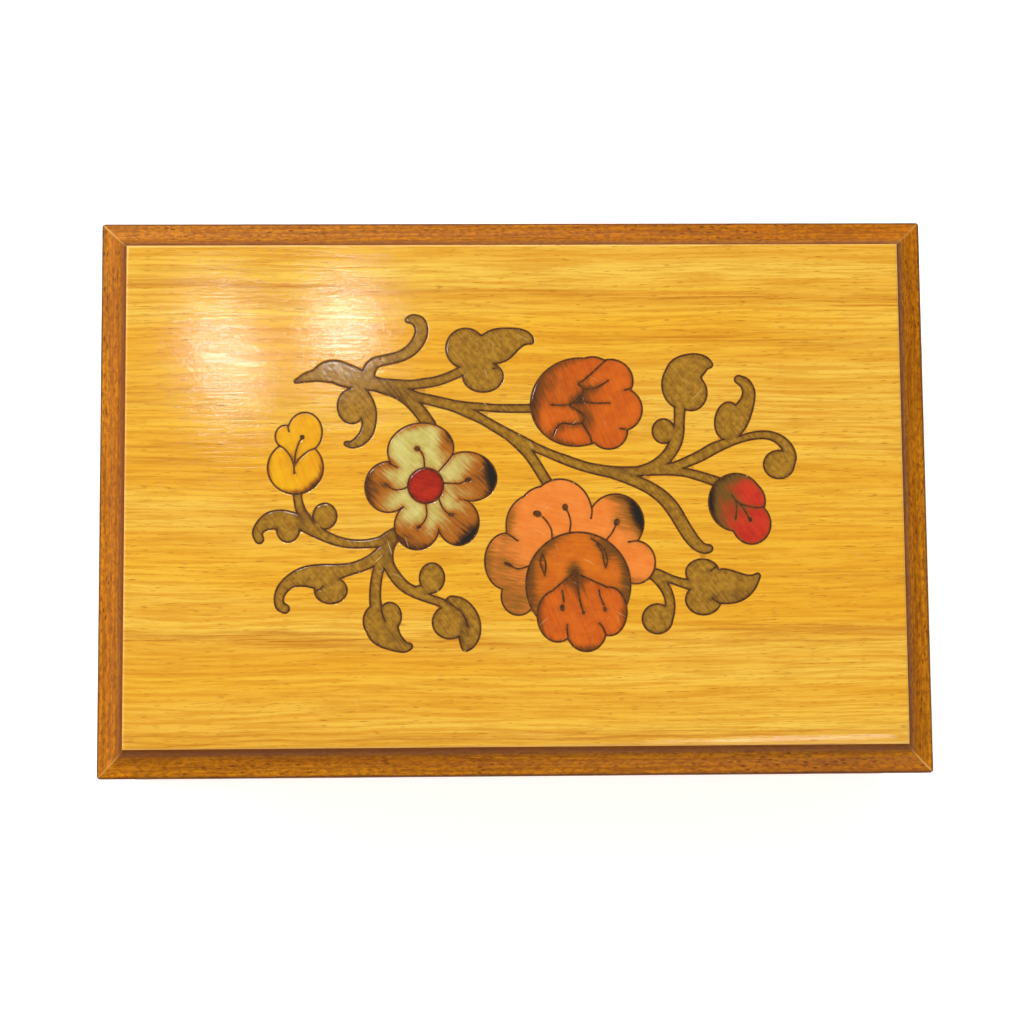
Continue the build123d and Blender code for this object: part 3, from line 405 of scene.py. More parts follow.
            Scorch(-45.9, 5.4, 0.7, 3.0, 0, 0.3), Scorch(-41.0, 6.6, 1.6, 2.6, 0, 0.16),
        ),
        edge_scorch=0.25,
    ),
    Inlay(
        "stems_and_leaves", "olive_veneer",
        lobes=LEAF_LOBES, strokes=LEAF_STROKES, cuts=LEAF_CUTS,
        in_front=("rose_outer_petals", "daisy_petals", "orange_bud", "red_bud", "yellow_tulip"),
        scorches=(
            Scorch(-22.0, 18.6, 4.0, 1.6, -20, 0.35), Scorch(-23.6, -10.0, 1.6, 3.0, 0, 0.3),
            Scorch(-39.4, -4.6, 1.6, 1.6, 0, 0.3), Scorch(-9.6, -26.0, 1.2, 2.8, 0, 0.3),
            Scorch(-23.0, -26.6, 2.4, 1.2, -30, 0.3), Scorch(19.5, 3.7, 2.8, 1.0, 0, 0.25),
            Scorch(39.5, -19.2, 3.6, 1.0, 0, 0.3),
        ),
        edge_scorch=0.35,
    ),
)


def smooth_rows(points: Rows, steps: int) -> np.ndarray:
    """Points along a smooth line through the given rows.

    Args:
        points: Rows of numbers, as many numbers to a point.
        steps: Points for each span between two rows.

    Returns:
        One row for each point of the line.
    """
    rows = np.array(points, float)
    rows = np.vstack([2 * rows[0] - rows[1], rows, 2 * rows[-1] - rows[-2]])
    line = []
    for index in range(1, len(rows) - 2):
        before, start, end, after = rows[index - 1 : index + 3]
        for t in np.arange(steps) / steps:
            bend = (2 * before - 5 * start + 4 * end - after) * t**2
            bend += (3 * start - before - 3 * end + after) * t**3
            line.append(0.5 * (2 * start + (end - before) * t + bend))
    line.append(rows[-2])
    return np.array(line)


class Sheet:
    """A square grid over part of the lid on which distances to outlines are kept, in millimetres.

    A distance is below zero inside a shape, and no distance is above the grid's reach.
    """

    reach = 4.0
    steepest_taper = 0.99
    shortest_loop = 0.3
    # For each way in which a cell's corners lie inside, the sides where its lines start and end.
    crossings = {
        1: ((3, 0),), 2: ((0, 1),), 3: ((3, 1),), 4: ((1, 2),), 5: ((3, 2), (1, 0)), 6: ((0, 2),),
        7: ((3, 2),),
        8: ((2, 3),), 9: ((2, 0),), 10: ((0, 3), (2, 1)), 11: ((2, 1),), 12: ((1, 3),), 13: ((1, 0),),
        14: ((0, 3),),
    }

    def __init__(self, low: tuple[float, float], high: tuple[float, float], pitch: float) -> None:
        """Lay the grid out.

        Args:
            low: Lowest x and y.
            high: Highest x and y.
            pitch: Distance between grid lines.
        """
        self.pitch = pitch
        self.low = low
        self.x = np.arange(low[0], high[0] + pitch / 2, pitch)
        self.y = np.arange(low[1], high[1] + pitch / 2, pitch)

    def blank(self) -> np.ndarray:
        """A grid that is everywhere outside."""
        return np.full((len(self.y), len(self.x)), self.reach)

    def _window(self, xs: tuple[float, ...], ys: tuple[float, ...], margin: float) -> tuple[slice, slice]:
        """The part of the grid near a shape.

        Args:
            xs: The shape's x values.
            ys: The shape's y values.
            margin: Distance kept round them, besides the grid's reach.

        Returns:
            Row slice and column slice.
        """
        margin += self.reach
        columns = np.searchsorted(self.x, (min(xs) - margin, max(xs) + margin))
        rows = np.searchsorted(self.y, (min(ys) - margin, max(ys) + margin))
        return slice(*rows), slice(*columns)

    def add_lobe(self, values: np.ndarray, lobe: tuple[float, ...]) -> None:
        """Join one ellipse to a shape.

        Args:
            values: Distances of the shape, changed in place.
            lobe: x, y, half length, half height and turn in degrees.
        """
        x, y, half_length, half_height, turn = lobe
        rows, columns = self._window((x,), (y,), max(half_length, half_height))
        dx = self.x[columns][None, :] - x
        dy = self.y[rows][:, None] - y
        c, s = math.cos(math.radians(turn)), math.sin(math.radians(turn))
        u, v = dx * c + dy * s, dy * c - dx * s
        ratio = np.hypot(u / half_length, v / half_height)
        slope = np.hypot(u / half_length**2, v / half_height**2)
        distance = ratio * (ratio - 1) / np.maximum(slope, 1e-6)
        distance = np.where(ratio < 0.05, -min(half_length, half_height), distance)
        values[rows, columns] = np.minimum(values[rows, columns], distance)

    def add_stroke(self, values: np.ndarray, points: Rows, steps: int = 5) -> None:
        """Join one tapering stroke with round ends to a shape.

        Args:
            values: Distances of the shape, changed in place.
            points: x, y and half width along the middle of the stroke.
            steps: Straight pieces for each span between two points.
        """
        line = smooth_rows(points, steps)
        for (x0, y0, r0), (x1, y1, r1) in zip(line, line[1:]):
            length = math.hypot(x1 - x0, y1 - y0)
            rows, columns = self._window((x0, x1), (y0, y1), max(r0, r1))
            dx = self.x[columns][None, :] - x0
            dy = self.y[rows][:, None] - y0
            ux, uy = (x1 - x0) / length, (y1 - y0) / length
            place = dx * ux + dy * uy
            along, across = place, np.abs(dy * ux - dx * uy)
            taper = (r0 - r1) / length
            if abs(taper) < self.steepest_taper:
                place = along - across * taper / math.sqrt(1 - taper**2)
            place = np.clip(place, 0, length)
            distance = np.hypot(along - place, across) - (r0 - taper * place)
            values[rows, columns] = np.minimum(values[rows, columns], distance)

    def read(self, values: np.ndarray, x: np.ndarray, y: np.ndarray) -> np.ndarray:
        """Values of a grid at any points.

        Args:
            values: A grid of this sheet.
            x: The points' x.
            y: The points' y.

        Returns:
            One value for each point.
        """
        u = np.clip((x - self.low[0]) / self.pitch, 0, len(self.x) - 1.001)
        v = np.clip((y - self.low[1]) / self.pitch, 0, len(self.y) - 1.001)
        i, j = u.astype(int), v.astype(int)
        fu, fv = u - i, v - j
        low = values[j, i] * (1 - fu) + values[j, i + 1] * fu
        high = values[j + 1, i] * (1 - fu) + values[j + 1, i + 1] * fu
        return low * (1 - fv) + high * fv

    def outlines(self, values: np.ndarray, spacing: float) -> list[np.ndarray]:
        """Closed lines where a grid changes sign, with their points a given distance apart.

        Args:
            values: A grid of this sheet.
            spacing: Distance between points.

        Returns:
            One array of points for each closed line.
        """
        inside = values < 0
        code = inside[:-1, :-1] * 1 + inside[:-1, 1:] * 2 + inside[1:, 1:] * 4 + inside[1:, :-1] * 8
        links: dict[tuple[int, int, int], tuple[int, int, int]] = {}
        for j, i in np.argwhere((code > 0) & (code < 15)):
            sides = ((0, j, i), (1, j, i + 1), (0, j + 1, i), (1, j, i))
            for start, end in self.crossings[int(code[j, i])]:
                links[sides[start]] = sides[end]
        loops = []
        while links:
            place = next(iter(links))
            loop = []
            while place in links:
                loop.append(place)
                place = links.pop(place)
            loops.append(self._resampled(np.array([self._crossing(values, *side) for side in loop]), spacing))
        return [loop for loop in loops if len(loop)]

    def _crossing(self, values: np.ndarray, upright: int, j: int, i: int) -> tuple[float, float]:
        """The point on one grid edge where the values change sign.

        Args:
            values: A grid of this sheet.
            upright: 1 for an edge that runs along y, 0 for one along x.
            j: Row of the edge's first point.
            i: Column of the edge's first point.

        Returns:
            x and y.
        """
        first, second = values[j, i], values[j + upright, i + 1 - upright]
        step = first / (first - second) * self.pitch
        return self.x[i] + (1 - upright) * step, self.y[j] + upright * step

    def _resampled(self, loop: np.ndarray, spacing: float) -> np.ndarray:
        """The same closed line with evenly spaced points.

        Args:
            loop: The line's points.
            spacing: Distance between points.

        Returns:
            The new points, none for a line that is only a speck.
        """
        closed = np.vstack([loop, loop[:1]])
        along = np.concatenate([[0], np.cumsum(np.hypot(*np.diff(closed, axis=0).T))])
        if along[-1] < self.shortest_loop:
            return np.empty((0, 2))
        places = np.linspace(0, along[-1], max(int(along[-1] / spacing), 6), endpoint=False)
        return np.column_stack([np.interp(places, along, closed[:, k]) for k in (0, 1)])


class Graph:
    """A node tree with short calls to add and join nodes."""

    def __init__(self, tree: bpy.types.NodeTree) -> None:
        """Hold the tree that nodes are added to."""
        self.tree = tree

    def join(self, value: object, socket: Socket) -> None:
        """Feed a socket from another one or with a plain value.

        Args:
            value: The socket or the value.
            socket: What it feeds.
        """
        if isinstance(value, Socket):
            self.tree.links.new(value, socket)
        else:
            socket.default_value = value

    def add(self, kind: str, inputs: dict | None = None, **settings: object) -> bpy.types.Node:
        """Add a node.

        Args:
            kind: The node's type name.
            inputs: Values or sockets for its inputs, by name or index.
            **settings: Properties of the node.

        Returns:
            The node.
        """
        node = self.tree.nodes.new(kind)
        for key, value in settings.items():
            setattr(node, key, value)
        for key, value in (inputs or {}).items():
            self.join(value, node.inputs[key])
        return node

    def math(self, operation: str, *values: object, clamp: bool = False) -> Socket:
        """Add a Math node, clamped to 0 to 1 if asked."""
        return self.add(
            "ShaderNodeMath", dict(enumerate(values)), operation=operation, use_clamp=clamp
        ).outputs[0]

    def times(self, first: object, second: object) -> Socket:
        """The product of two values."""
        return self.math("MULTIPLY", first, second)

    def plus(self, first: object, second: object) -> Socket:
        """The sum of two values."""
        return self.math("ADD", first, second)

    def minus(self, first: object, second: object) -> Socket:
        """The first value less the second."""
        return self.math("SUBTRACT", first, second)

    def size(self, value: object) -> Socket:
        """The value without its sign."""
        return self.math("ABSOLUTE", value)

    def vector(self, operation: str, *values: object) -> Socket:
        """Add a Vector Math node with a vector result."""
        return self.add(
            "ShaderNodeVectorMath", dict(enumerate(values)), operation=operation
        ).outputs["Vector"]

    def turned(self, source: Socket, angle: object) -> Socket:
        """A vector turned about Z."""
        inputs = {"Vector": source, "Angle": angle}
        return self.add("ShaderNodeVectorRotate", inputs, rotation_type="Z_AXIS").outputs[0]

    def split(self, source: Socket) -> tuple[Socket, Socket, Socket]:
        """The x, y and z of a vector."""
        return tuple(self.add("ShaderNodeSeparateXYZ", {0: source}).outputs)

    def joined(self, x: object, y: object, z: object = 0.0) -> Socket:
        """A vector from its parts."""
        return self.add("ShaderNodeCombineXYZ", {0: x, 1: y, 2: z}).outputs[0]

    def attribute(self, name: str, output: str) -> Socket:
        """A value that is stored on the mesh."""
        return self.add("ShaderNodeAttribute", attribute_name=name).outputs[output]

    def noise(
        self, source: Socket, scale: object, detail: float, rough: float = 0.5, bend: float = 0.0
    ) -> Socket:
        """Add a Noise Texture.

        Args:
            source: Its coordinates.
            scale: Its scale, or one factor for each axis.
            detail: Its detail.
            rough: Its roughness.
            bend: Its distortion.

        Returns:
            Its factor output.
        """
        if isinstance(scale, tuple):
            source, scale = self.vector("MULTIPLY", source, scale), 1.0
        values = {"Vector": source, "Scale": scale, "Detail": detail, "Roughness": rough, "Distortion": bend}
        return self.add("ShaderNodeTexNoise", values).outputs[0]

    def flat_noise(
        self, x: Socket, x_scale: float, y: Socket, y_scale: float, detail: float, rough: float
    ) -> Socket:
        """Noise of two values, each with a scale of its own."""
        return self.noise(self.joined(self.times(x, x_scale), self.times(y, y_scale)), 1.0, detail, rough)

    def remap(
        self, value: Socket, low: object, high: object, to_low: float = 0.0, to_high: float = 1.0
    ) -> Socket:
        """Turn the range from low to high into another along a smooth step."""
        values = {0: value, 1: low, 2: high, 3: to_low, 4: to_high}
        return self.add("ShaderNodeMapRange", values, interpolation_type="SMOOTHSTEP").outputs[0]

    def blend(self, share: object, first: object, second: object) -> Socket:
        """Mix two colours.

        Args:
            share: How much of the second shows.
            first: The first colour.
            second: The second colour.

        Returns:
            The mixed colour.
        """
        node = self.add("ShaderNodeMix", {"Factor": share}, data_type="RGBA")
        for name, value in (("A", first), ("B", second)):
            self.join(value, next(s for s in node.inputs if s.name == name and s.type == "RGBA"))
        return next(s for s in node.outputs if s.type == "RGBA")

    def group(self, tree: bpy.types.NodeTree, **inputs: object) -> bpy.types.bpy_prop_collection:
        """Add a shader group and give its outputs. A space in an input's name is written as _."""
        values = {key.replace("_", " "): value for key, value in inputs.items()}
        return self.add("ShaderNodeGroup", values, node_tree=tree).outputs


class Group(Graph):
    """A node group with named inputs and outputs."""

    kinds = {bool: "Bool", int: "Int", float: "Float", tuple: "Color"}

    def __init__(
        self, name: str, inputs: dict[str, object], outputs: tuple[str, ...], kind: str = "Float"
    ) -> None:
        """Start the group.

        Args:
            name: Its name.
            inputs: The starting value of each input, or the name of its kind.
            outputs: Its outputs.
            kind: The outputs' kind. Geometry makes it a Geometry Nodes tree.
        """
        tree_type = "GeometryNodeTree" if kind == "Geometry" else "ShaderNodeTree"
        super().__init__(bpy.data.node_groups.new(name, tree_type))
        sockets = self.tree.interface
        for label, value in inputs.items():
            named = isinstance(value, str)
            socket_kind = value if named else self.kinds[type(value)]
            socket = sockets.new_socket(name=label, in_out="INPUT", socket_type=f"NodeSocket{socket_kind}")
            if not named:
                socket.default_value = value
        for label in outputs:
            sockets.new_socket(name=label, in_out="OUTPUT", socket_type=f"NodeSocket{kind}")
        self.given = self.add("NodeGroupInput").outputs
        self.result = self.add("NodeGroupOutput").inputs

    def __getitem__(self, name: str) -> Socket:
        """One of the group's inputs."""
        return self.given[name]

    def give(self, *results: Socket) -> bpy.types.NodeTree:
        """Feed the group's outputs in order, and hand over its tree.

        Args:
            *results: What feeds them.

        Returns:
            The tree.
        """
        for socket, value in zip(self.result, results):
            self.join(value, socket)
        return self.tree


def srgb(red: float, green: float, blue: float) -> Color:
    """A colour given as it shows on a screen, 0 to 255.

    Args:
        red: Red.
        green: Green.
        blue: Blue.

    Returns:
        The colour for a node, with full alpha.
    """
    parts = [c / 255 for c in (red, green, blue)]
    linear = [c / 12.92 if c <= 0.04045 else ((c + 0.055) / 1.055) ** 2.4 for c in parts]
    return (*linear, 1.0)


class Effects:
    """Node groups that several finishes share. Lengths are in metres."""

    def __init__(self) -> None:
        """Build every group once."""
        self.grain = self._grain()
        self.streak = self._streak()
        self.lacquer = self._lacquer()
        self.scorch = self._scorch()
        self.flecks = self._flecks()
        self.pile = self._pile()

    @staticmethod
    def _grain() -> bpy.types.NodeTree:
        """Long grain: wavy bands, fine lines and short dark pores along the first axis.

        Returns:
            The group.
        """
        inputs = {"Vector": "Vector", "Band Width": 0.006, "Wave": 0.3, "Seed": 0.0}
        graph = Group("Long Grain", inputs, ("Bands", "Lines", "Pores"))
        place = graph.vector("ADD", graph["Vector"], graph.joined(graph["Seed"], graph["Seed"]))
        x, y, z = graph.split(place)
        drift = graph.noise(place, (14.0, 45.0, 14.0), 2.0)
        drift = graph.times(graph.minus(drift, 0.5), graph.times(graph["Wave"], 0.008))
        across = graph.plus(graph.plus(y, z), drift)
        banded = graph.joined(graph.times(x, 5.0), graph.math("DIVIDE", across, graph["Band Width"]))
        bands = graph.noise(banded, 1.0, 3.0, 0.55)
        lines = graph.flat_noise(x, 60.0, across, 1500.0, 4.0, 0.62)
        cells = graph.flat_noise(x, 420.0, across, 4300.0, 1.0, 0.4)
        return graph.give(
            graph.remap(bands, 0.36, 0.66), graph.remap(lines, 0.4, 0.62), graph.remap(cells, 0.61, 0.7)
        )

    @staticmethod
    def _streak() -> bpy.types.NodeTree:
        """One wavering dark streak that runs along the first axis between two places.

        Returns:
            The group.
        """
        inputs = {
            "Vector": "Vector", "Height": 0.0, "Slope": 0.0, "Half Width": 0.001, "Start": -0.08, "End": 0.08,
            "Strength": 1.0,
        }
        graph = Group("Streak", inputs, ("Streak",))
        x, y, _ = graph.split(graph["Vector"])
        line = graph.math("MULTIPLY_ADD", x, graph["Slope"], graph["Height"])
        waver = graph.flat_noise(x, 60.0, graph["Height"], 900.0, 3.0, 0.5)
        line = graph.plus(line, graph.times(graph.minus(waver, 0.5), 0.003))
        away = graph.size(graph.minus(y, line))
        breaks = graph.flat_noise(x, 40.0, y, 2600.0, 3.0, 0.65)
        body = graph.times(
            graph.remap(away, 0.0, graph["Half Width"], 1.0, 0.0), graph.remap(breaks, 0.34, 0.62)
        )
        fade = 0.012
        start = graph.remap(graph.minus(x, graph["Start"]), 0.0, fade)
        end = graph.remap(graph.minus(graph["End"], x), 0.0, fade)
        body = graph.times(body, graph.times(start, end))
        return graph.give(graph.times(body, graph["Strength"]))

    @staticmethod
    def _lacquer() -> bpy.types.NodeTree:
        """Lacquer film: soft orange peel, fine scratches and slightly dull patches.

        Returns:
            The group.
        """
        inputs = {"Vector": "Vector", "Peel": 1.0, "Scratches": 1.0, "Roughness": 0.3}
        graph = Group("Lacquer Film", inputs, ("Height", "Scratch", "Roughness"))
        place = graph["Vector"]
        peel = graph.noise(place, 620.0, 3.0, 0.55)
        scratches = 0.0
        for turn, seed in ((0.5, 1.3), (-0.75, 4.1), (1.25, 7.7)):
            x, y, _ = graph.split(graph.vector("ADD", graph.turned(place, turn), (seed, seed, 0.0)))
            line = graph.remap(graph.flat_noise(x, 200.0, y, 3600.0, 0.0, 0.5), 0.8, 0.86)
            scratches = graph.math("MAXIMUM", scratches, line)
        patches = graph.noise(place, 55.0, 3.0)
        thin = graph.times(graph.times(scratches, graph.remap(patches, 0.45, 0.62)), graph["Scratches"])
        height = graph.minus(graph.times(peel, graph["Peel"]), graph.times(thin, 0.4))
        rough = graph.plus(graph["Roughness"], graph.times(graph.minus(patches, 0.5), 0.12))
        return graph.give(height, thin, graph.math("ADD", rough, graph.times(thin, 0.2), clamp=True))

    @staticmethod
    def _scorch() -> bpy.types.NodeTree:
        """Veneer shaded in hot sand: through brown to near black, with fibre streaks at its border.

        Returns:
            The group.
        """
        grey = (0.5, 0.5, 0.5, 1.0)
        inputs = {"Vector": "Vector", "Base": grey, "Brown": grey, "Amount": 0.0, "Fibre Turn": 0.6}
        graph = Group("Sand Shading", inputs, ("Color",), "Color")
        given = graph["Amount"]
        fibres = graph.noise(
            graph.turned(graph["Vector"], graph["Fibre Turn"]), (300.0, 2400.0, 1.0), 3.0, 0.65
        )
        broken = graph.times(graph.minus(fibres, 0.5), 0.9)
        amount = graph.plus(given, graph.times(broken, graph.remap(given, 0.02, 0.35)))
        soft = graph.times(graph.minus(graph.noise(graph["Vector"], 900.0, 3.0), 0.5), 0.12)
        amount = graph.plus(amount, soft)
        brown = graph.blend(graph.remap(amount, 0.02, 0.7), graph["Base"], graph["Brown"])
        dark = graph.blend(graph.remap(amount, 0.65, 1.1), brown, srgb(84, 46, 14))
        return graph.give(graph.blend(graph.remap(amount, 1.05, 1.45), dark, srgb(30, 24, 14)))

    @staticmethod
    def _flecks() -> bpy.types.NodeTree:
        """Short dark flecks of beech along the first axis.

        Returns:
            The group.
        """
        graph = Group("Beech Flecks", {"Vector": "Vector", "Density": 0.5}, ("Flecks",))
        x, y, z = graph.split(graph["Vector"])
        across = graph.plus(y, graph.times(z, 0.9))
        place = graph.joined(graph.times(x, 560.0), graph.times(across, 1500.0))
        cells = graph.add("ShaderNodeTexVoronoi", {"Vector": place, "Scale": 1.0, "Randomness": 1.0}).outputs
        near = graph.remap(cells["Distance"], 0.12, 0.4, 1.0, 0.0)
        kept = graph.math("LESS_THAN", graph.split(cells["Color"])[0], graph["Density"])
        return graph.give(graph.times(near, kept))

    @staticmethod
    def _pile() -> bpy.types.NodeTree:
        """Cloth pile: brushed patches, which the cloth paints lighter as sheen, and fine fibres.

        Returns:
            The group.
        """
        graph = Group("Cloth Pile", {"Vector": "Vector", "Fibre": 0.0004}, ("Brushed", "Height"))
        brushed = graph.noise(graph["Vector"], (60.0, 34.0, 60.0), 3.0, 0.55, 0.8)
        fibres = graph.noise(graph["Vector"], graph.math("DIVIDE", 1.0, graph["Fibre"]), 3.0, 0.7)
        return graph.give(graph.remap(brushed, 0.35, 0.65), fibres)


class Run(Enum):
    """The direction that the grain of a board takes, as its turn from X."""

    ALONG = 0.0
    ACROSS = math.pi / 2


@dataclass(frozen=True)
class StreakPlace:
    """One dark streak in the veneer, in millimetres on the lid."""

    height: float
    slope: float
    half_width: float
    start: float
    end: float
    strength: float


PANEL_STREAKS: tuple[StreakPlace, ...] = (
    StreakPlace(38.2, -0.016, 0.55, -90, -30, 1.0), StreakPlace(38.0, -0.026, 1.5, -90, 90, 0.5),
    StreakPlace(37.8, -0.024, 0.5, 18, 90, 0.95), StreakPlace(36.9, -0.022, 0.45, 40, 90, 0.8),
    StreakPlace(41.6, -0.012, 0.7, -90, -40, 0.45), StreakPlace(29.6, -0.022, 1.3, 0, 90, 0.6),
    StreakPlace(31.0, -0.02, 0.5, 22, 64, 0.6), StreakPlace(20.2, 0.012, 1.1, -90, -50, 0.65),
    StreakPlace(17.6, 0.01, 0.8, -90, -48, 0.6), StreakPlace(11.2, 0.03, 0.8, -90, -46, 0.55),
    StreakPlace(7.6, 0.02, 1.4, -90, -46, 0.6), StreakPlace(4.4, 0.02, 0.7, -90, -48, 0.5),
    StreakPlace(8.2, 0.0, 1.0, 52, 90, 0.5), StreakPlace(-13.6, -0.03, 1.2, 42, 90, 0.55),
    StreakPlace(-17.0, 0.01, 0.8, 48, 90, 0.45), StreakPlace(-26.2, 0.004, 1.3, -90, -26, 0.8),
    StreakPlace(-27.6, -0.01, 0.6, -90, 0, 0.9), StreakPlace(-28.6, -0.012, 1.3, -60, 12, 0.6),
    StreakPlace(-25.2, -0.016, 1.6, 26, 90, 0.75), StreakPlace(-23.8, -0.02, 0.5, 28, 64, 0.85),
    StreakPlace(-27.4, -0.01, 0.5, 22, 76, 0.7), StreakPlace(-33.0, 0.0, 0.8, -80, -30, 0.3),
    StreakPlace(-44.6, 0.002, 1.0, -90, 90, 0.5), StreakPlace(-45.6, 0.004, 0.5, -90, 60, 0.7),
)


@dataclass(frozen=True)
class Surface:
    """The nodes of one material while its finish fills them in."""

    graph: Graph
    shader: bpy.types.Node
    place: Socket
    effects: Effects

    def fill(self, color: Socket, roughness: object, height: Socket, depth: float, strength: float) -> None:
        """Feed the shader.

        Args:
            color: Its colour.
            roughness: Its roughness.
            height: Height of its bumps, 0 to 1.
            depth: Metres for a height of 1.
            strength: How much of the bumps shows.
        """
        self.graph.join(color, self.shader.inputs["Base Color"])
        self.graph.join(roughness, self.shader.inputs["Roughness"])
        bump = self.graph.add(
            "ShaderNodeBump", {"Height": height, "Distance": depth, "Strength": strength}
        ).outputs[0]
        self.graph.join(bump, self.shader.inputs["Normal"])
        if self.shader.inputs["Coat Weight"].default_value > 0:
            self.graph.join(bump, self.shader.inputs["Coat Normal"])


class Finish:
    """A procedural material. Each kind fills in its own nodes."""

    name: str
    coat = 0.0
    coat_roughness = 0.08
    sheen = 0.0
    specular = 0.5

    def build(self, effects: Effects) -> bpy.types.Material:
        """Make the material.

        Args:
            effects: The shared node groups.

        Returns:
            The material.
        """
        material = bpy.data.materials.new(self.name)
        material.use_nodes = True
        graph = Graph(material.node_tree)
        shader = material.node_tree.nodes["Principled BSDF"]
        constants = {
            "Coat Weight": self.coat, "Coat Roughness": self.coat_roughness, "Coat IOR": 1.5,
            "Sheen Weight": self.sheen, "Specular IOR Level": self.specular,
        }
        for socket, value in constants.items():
            shader.inputs[socket].default_value = value
        self.paint(Surface(graph, shader, graph.add("ShaderNodeTexCoord").outputs["Object"], effects))
        return material

    def paint(self, on: Surface) -> None:
        """Fill in colour, roughness and bump.

        Args:
            on: The material's nodes.
        """
        raise NotImplementedError


@dataclass(frozen=True)
class GoldenVeneer(Finish):
    """Glossy golden veneer with wavering streaks and fine pores."""

    name: str = "golden_veneer"
    run: Run = Run.ALONG
    streaks: tuple[StreakPlace, ...] = ()
    kerf_edge: bool = False
    coat: float = 1.0
    coat_roughness: float = 0.07
    specular: float = 0.08
    fine_bands: float = 0.0042
    broad_bands: float = 0.017

    def paint(self, on: Surface) -> None:
        """Fill in the veneer.

        Args:
            on: The material's nodes.
        """
        graph, place = on.graph, on.place
        along = graph.turned(place, self.run.value) if self.run is Run.ACROSS else place
        grain = graph.group(on.effects.grain, Vector=along, Band_Width=self.fine_bands, Wave=0.5, Seed=0.37)
        broad = graph.group(on.effects.grain, Vector=along, Band_Width=self.broad_bands, Wave=1.0, Seed=1.9)
        color = graph.blend(broad["Bands"], srgb(255, 208, 80), srgb(253, 190, 46))
        color = graph.blend(graph.times(grain["Bands"], 0.5), color, srgb(238, 160, 20))
        color = graph.blend(graph.times(grain["Lines"], 0.62), color, srgb(222, 144, 12))
        dark = 0.0
        for streak in self.streaks:
            drawn = graph.group(
                on.effects.streak, Vector=place, Height=streak.height * MM, Slope=streak.slope,
                Half_Width=streak.half_width * MM, Start=streak.start * MM, End=streak.end * MM,
                Strength=streak.strength,
            )
            dark = graph.math("MAXIMUM", dark, drawn["Streak"])
        if self.streaks:
            color = graph.blend(graph.times(dark, 0.9), color, srgb(196, 112, 8))
        pores = graph.times(grain["Pores"], graph.math("MULTIPLY_ADD", broad["Lines"], 0.45, 0.15))
        color = graph.blend(pores, color, srgb(168, 96, 12))
        film = graph.group(on.effects.lacquer, Vector=place, Peel=1.0, Scratches=1.0, Roughness=0.34)
        color = graph.blend(graph.times(film["Scratch"], 0.15), color, srgb(255, 225, 150))
        height = graph.minus(film["Height"], graph.times(grain["Lines"], 0.3))
        if self.kerf_edge:
            edge = graph.attribute("edge", "Fac")
            color = graph.blend(graph.remap(edge, 0.0, 0.16, 0.45, 0.0), color, srgb(150, 84, 16))
            height = graph.plus(graph.remap(edge, 0.0, 0.2), height)
        on.fill(color, film["Roughness"], height, 0.00002, 0.42)


@dataclass(frozen=True)
class InlayVeneer(Finish):
    """Dyed or scorched veneer of one inlaid piece, lacquered."""

    name: str
    base: Color
    second: Color
    brown: Color
    mottle_scale: float
    fibre_turn: float
    scratches: float
    coat: float = 1.0
    coat_roughness: float = 0.07
    specular: float = 0.08

    def paint(self, on: Surface) -> None:
        """Fill in the dyed veneer.

        Args:
            on: The material's nodes.
        """
        graph, place = on.graph, on.place
        fibres = graph.noise(graph.turned(place, self.fibre_turn), (160.0, 2200.0, 1.0), 3.0, 0.6)
        clouds = graph.noise(place, self.mottle_scale, 4.0, 0.6)
        share = graph.plus(
            graph.times(graph.remap(clouds, 0.36, 0.66), 0.6),
            graph.times(graph.remap(fibres, 0.35, 0.65), 0.4)
        )
        edge = graph.attribute("edge", "Fac")
        base = graph.blend(share, self.base, self.second)
        base = graph.blend(graph.remap(edge, 0.0, 0.14, 0.45, 0.0), base, srgb(96, 52, 16))
        shaded = graph.group(
            on.effects.scorch, Vector=place, Base=base, Brown=self.brown,
            Amount=graph.attribute("scorch", "Fac"),
            Fibre_Turn=self.fibre_turn,
        )
        film = graph.group(
            on.effects.lacquer, Vector=place, Peel=1.0, Scratches=self.scratches, Roughness=0.36
        )
        color = graph.blend(graph.times(film["Scratch"], 0.4), shaded["Color"], srgb(240, 205, 150))
        height = graph.plus(graph.remap(edge, 0.0, 0.2), film["Height"])
        on.fill(color, film["Roughness"], height, 0.00002, 0.42)


@dataclass(frozen=True)
class KerfFiller(Finish):
    """Dark glue and wood dust in the saw cuts."""

    name: str = "kerf_filler_paste"
    coat: float = 0.4
    coat_roughness: float = 0.25
    specular: float = 0.1

    def paint(self, on: Surface) -> None:
        """Fill in the paste.

        Args:
            on: The material's nodes.
        """
        graph, place = on.graph, on.place
        mixed = graph.noise(place, 1500.0, 3.0, 0.6)
        color = graph.blend(graph.remap(mixed, 0.35, 0.7), srgb(66, 34, 10), srgb(112, 66, 22))
        chips = graph.remap(graph.noise(place, 800.0, 2.0), 0.7, 0.74)
        color = graph.blend(graph.times(chips, 0.6), color, srgb(196, 160, 108))
        on.fill(color, 0.5, mixed, 0.00003, 0.5)


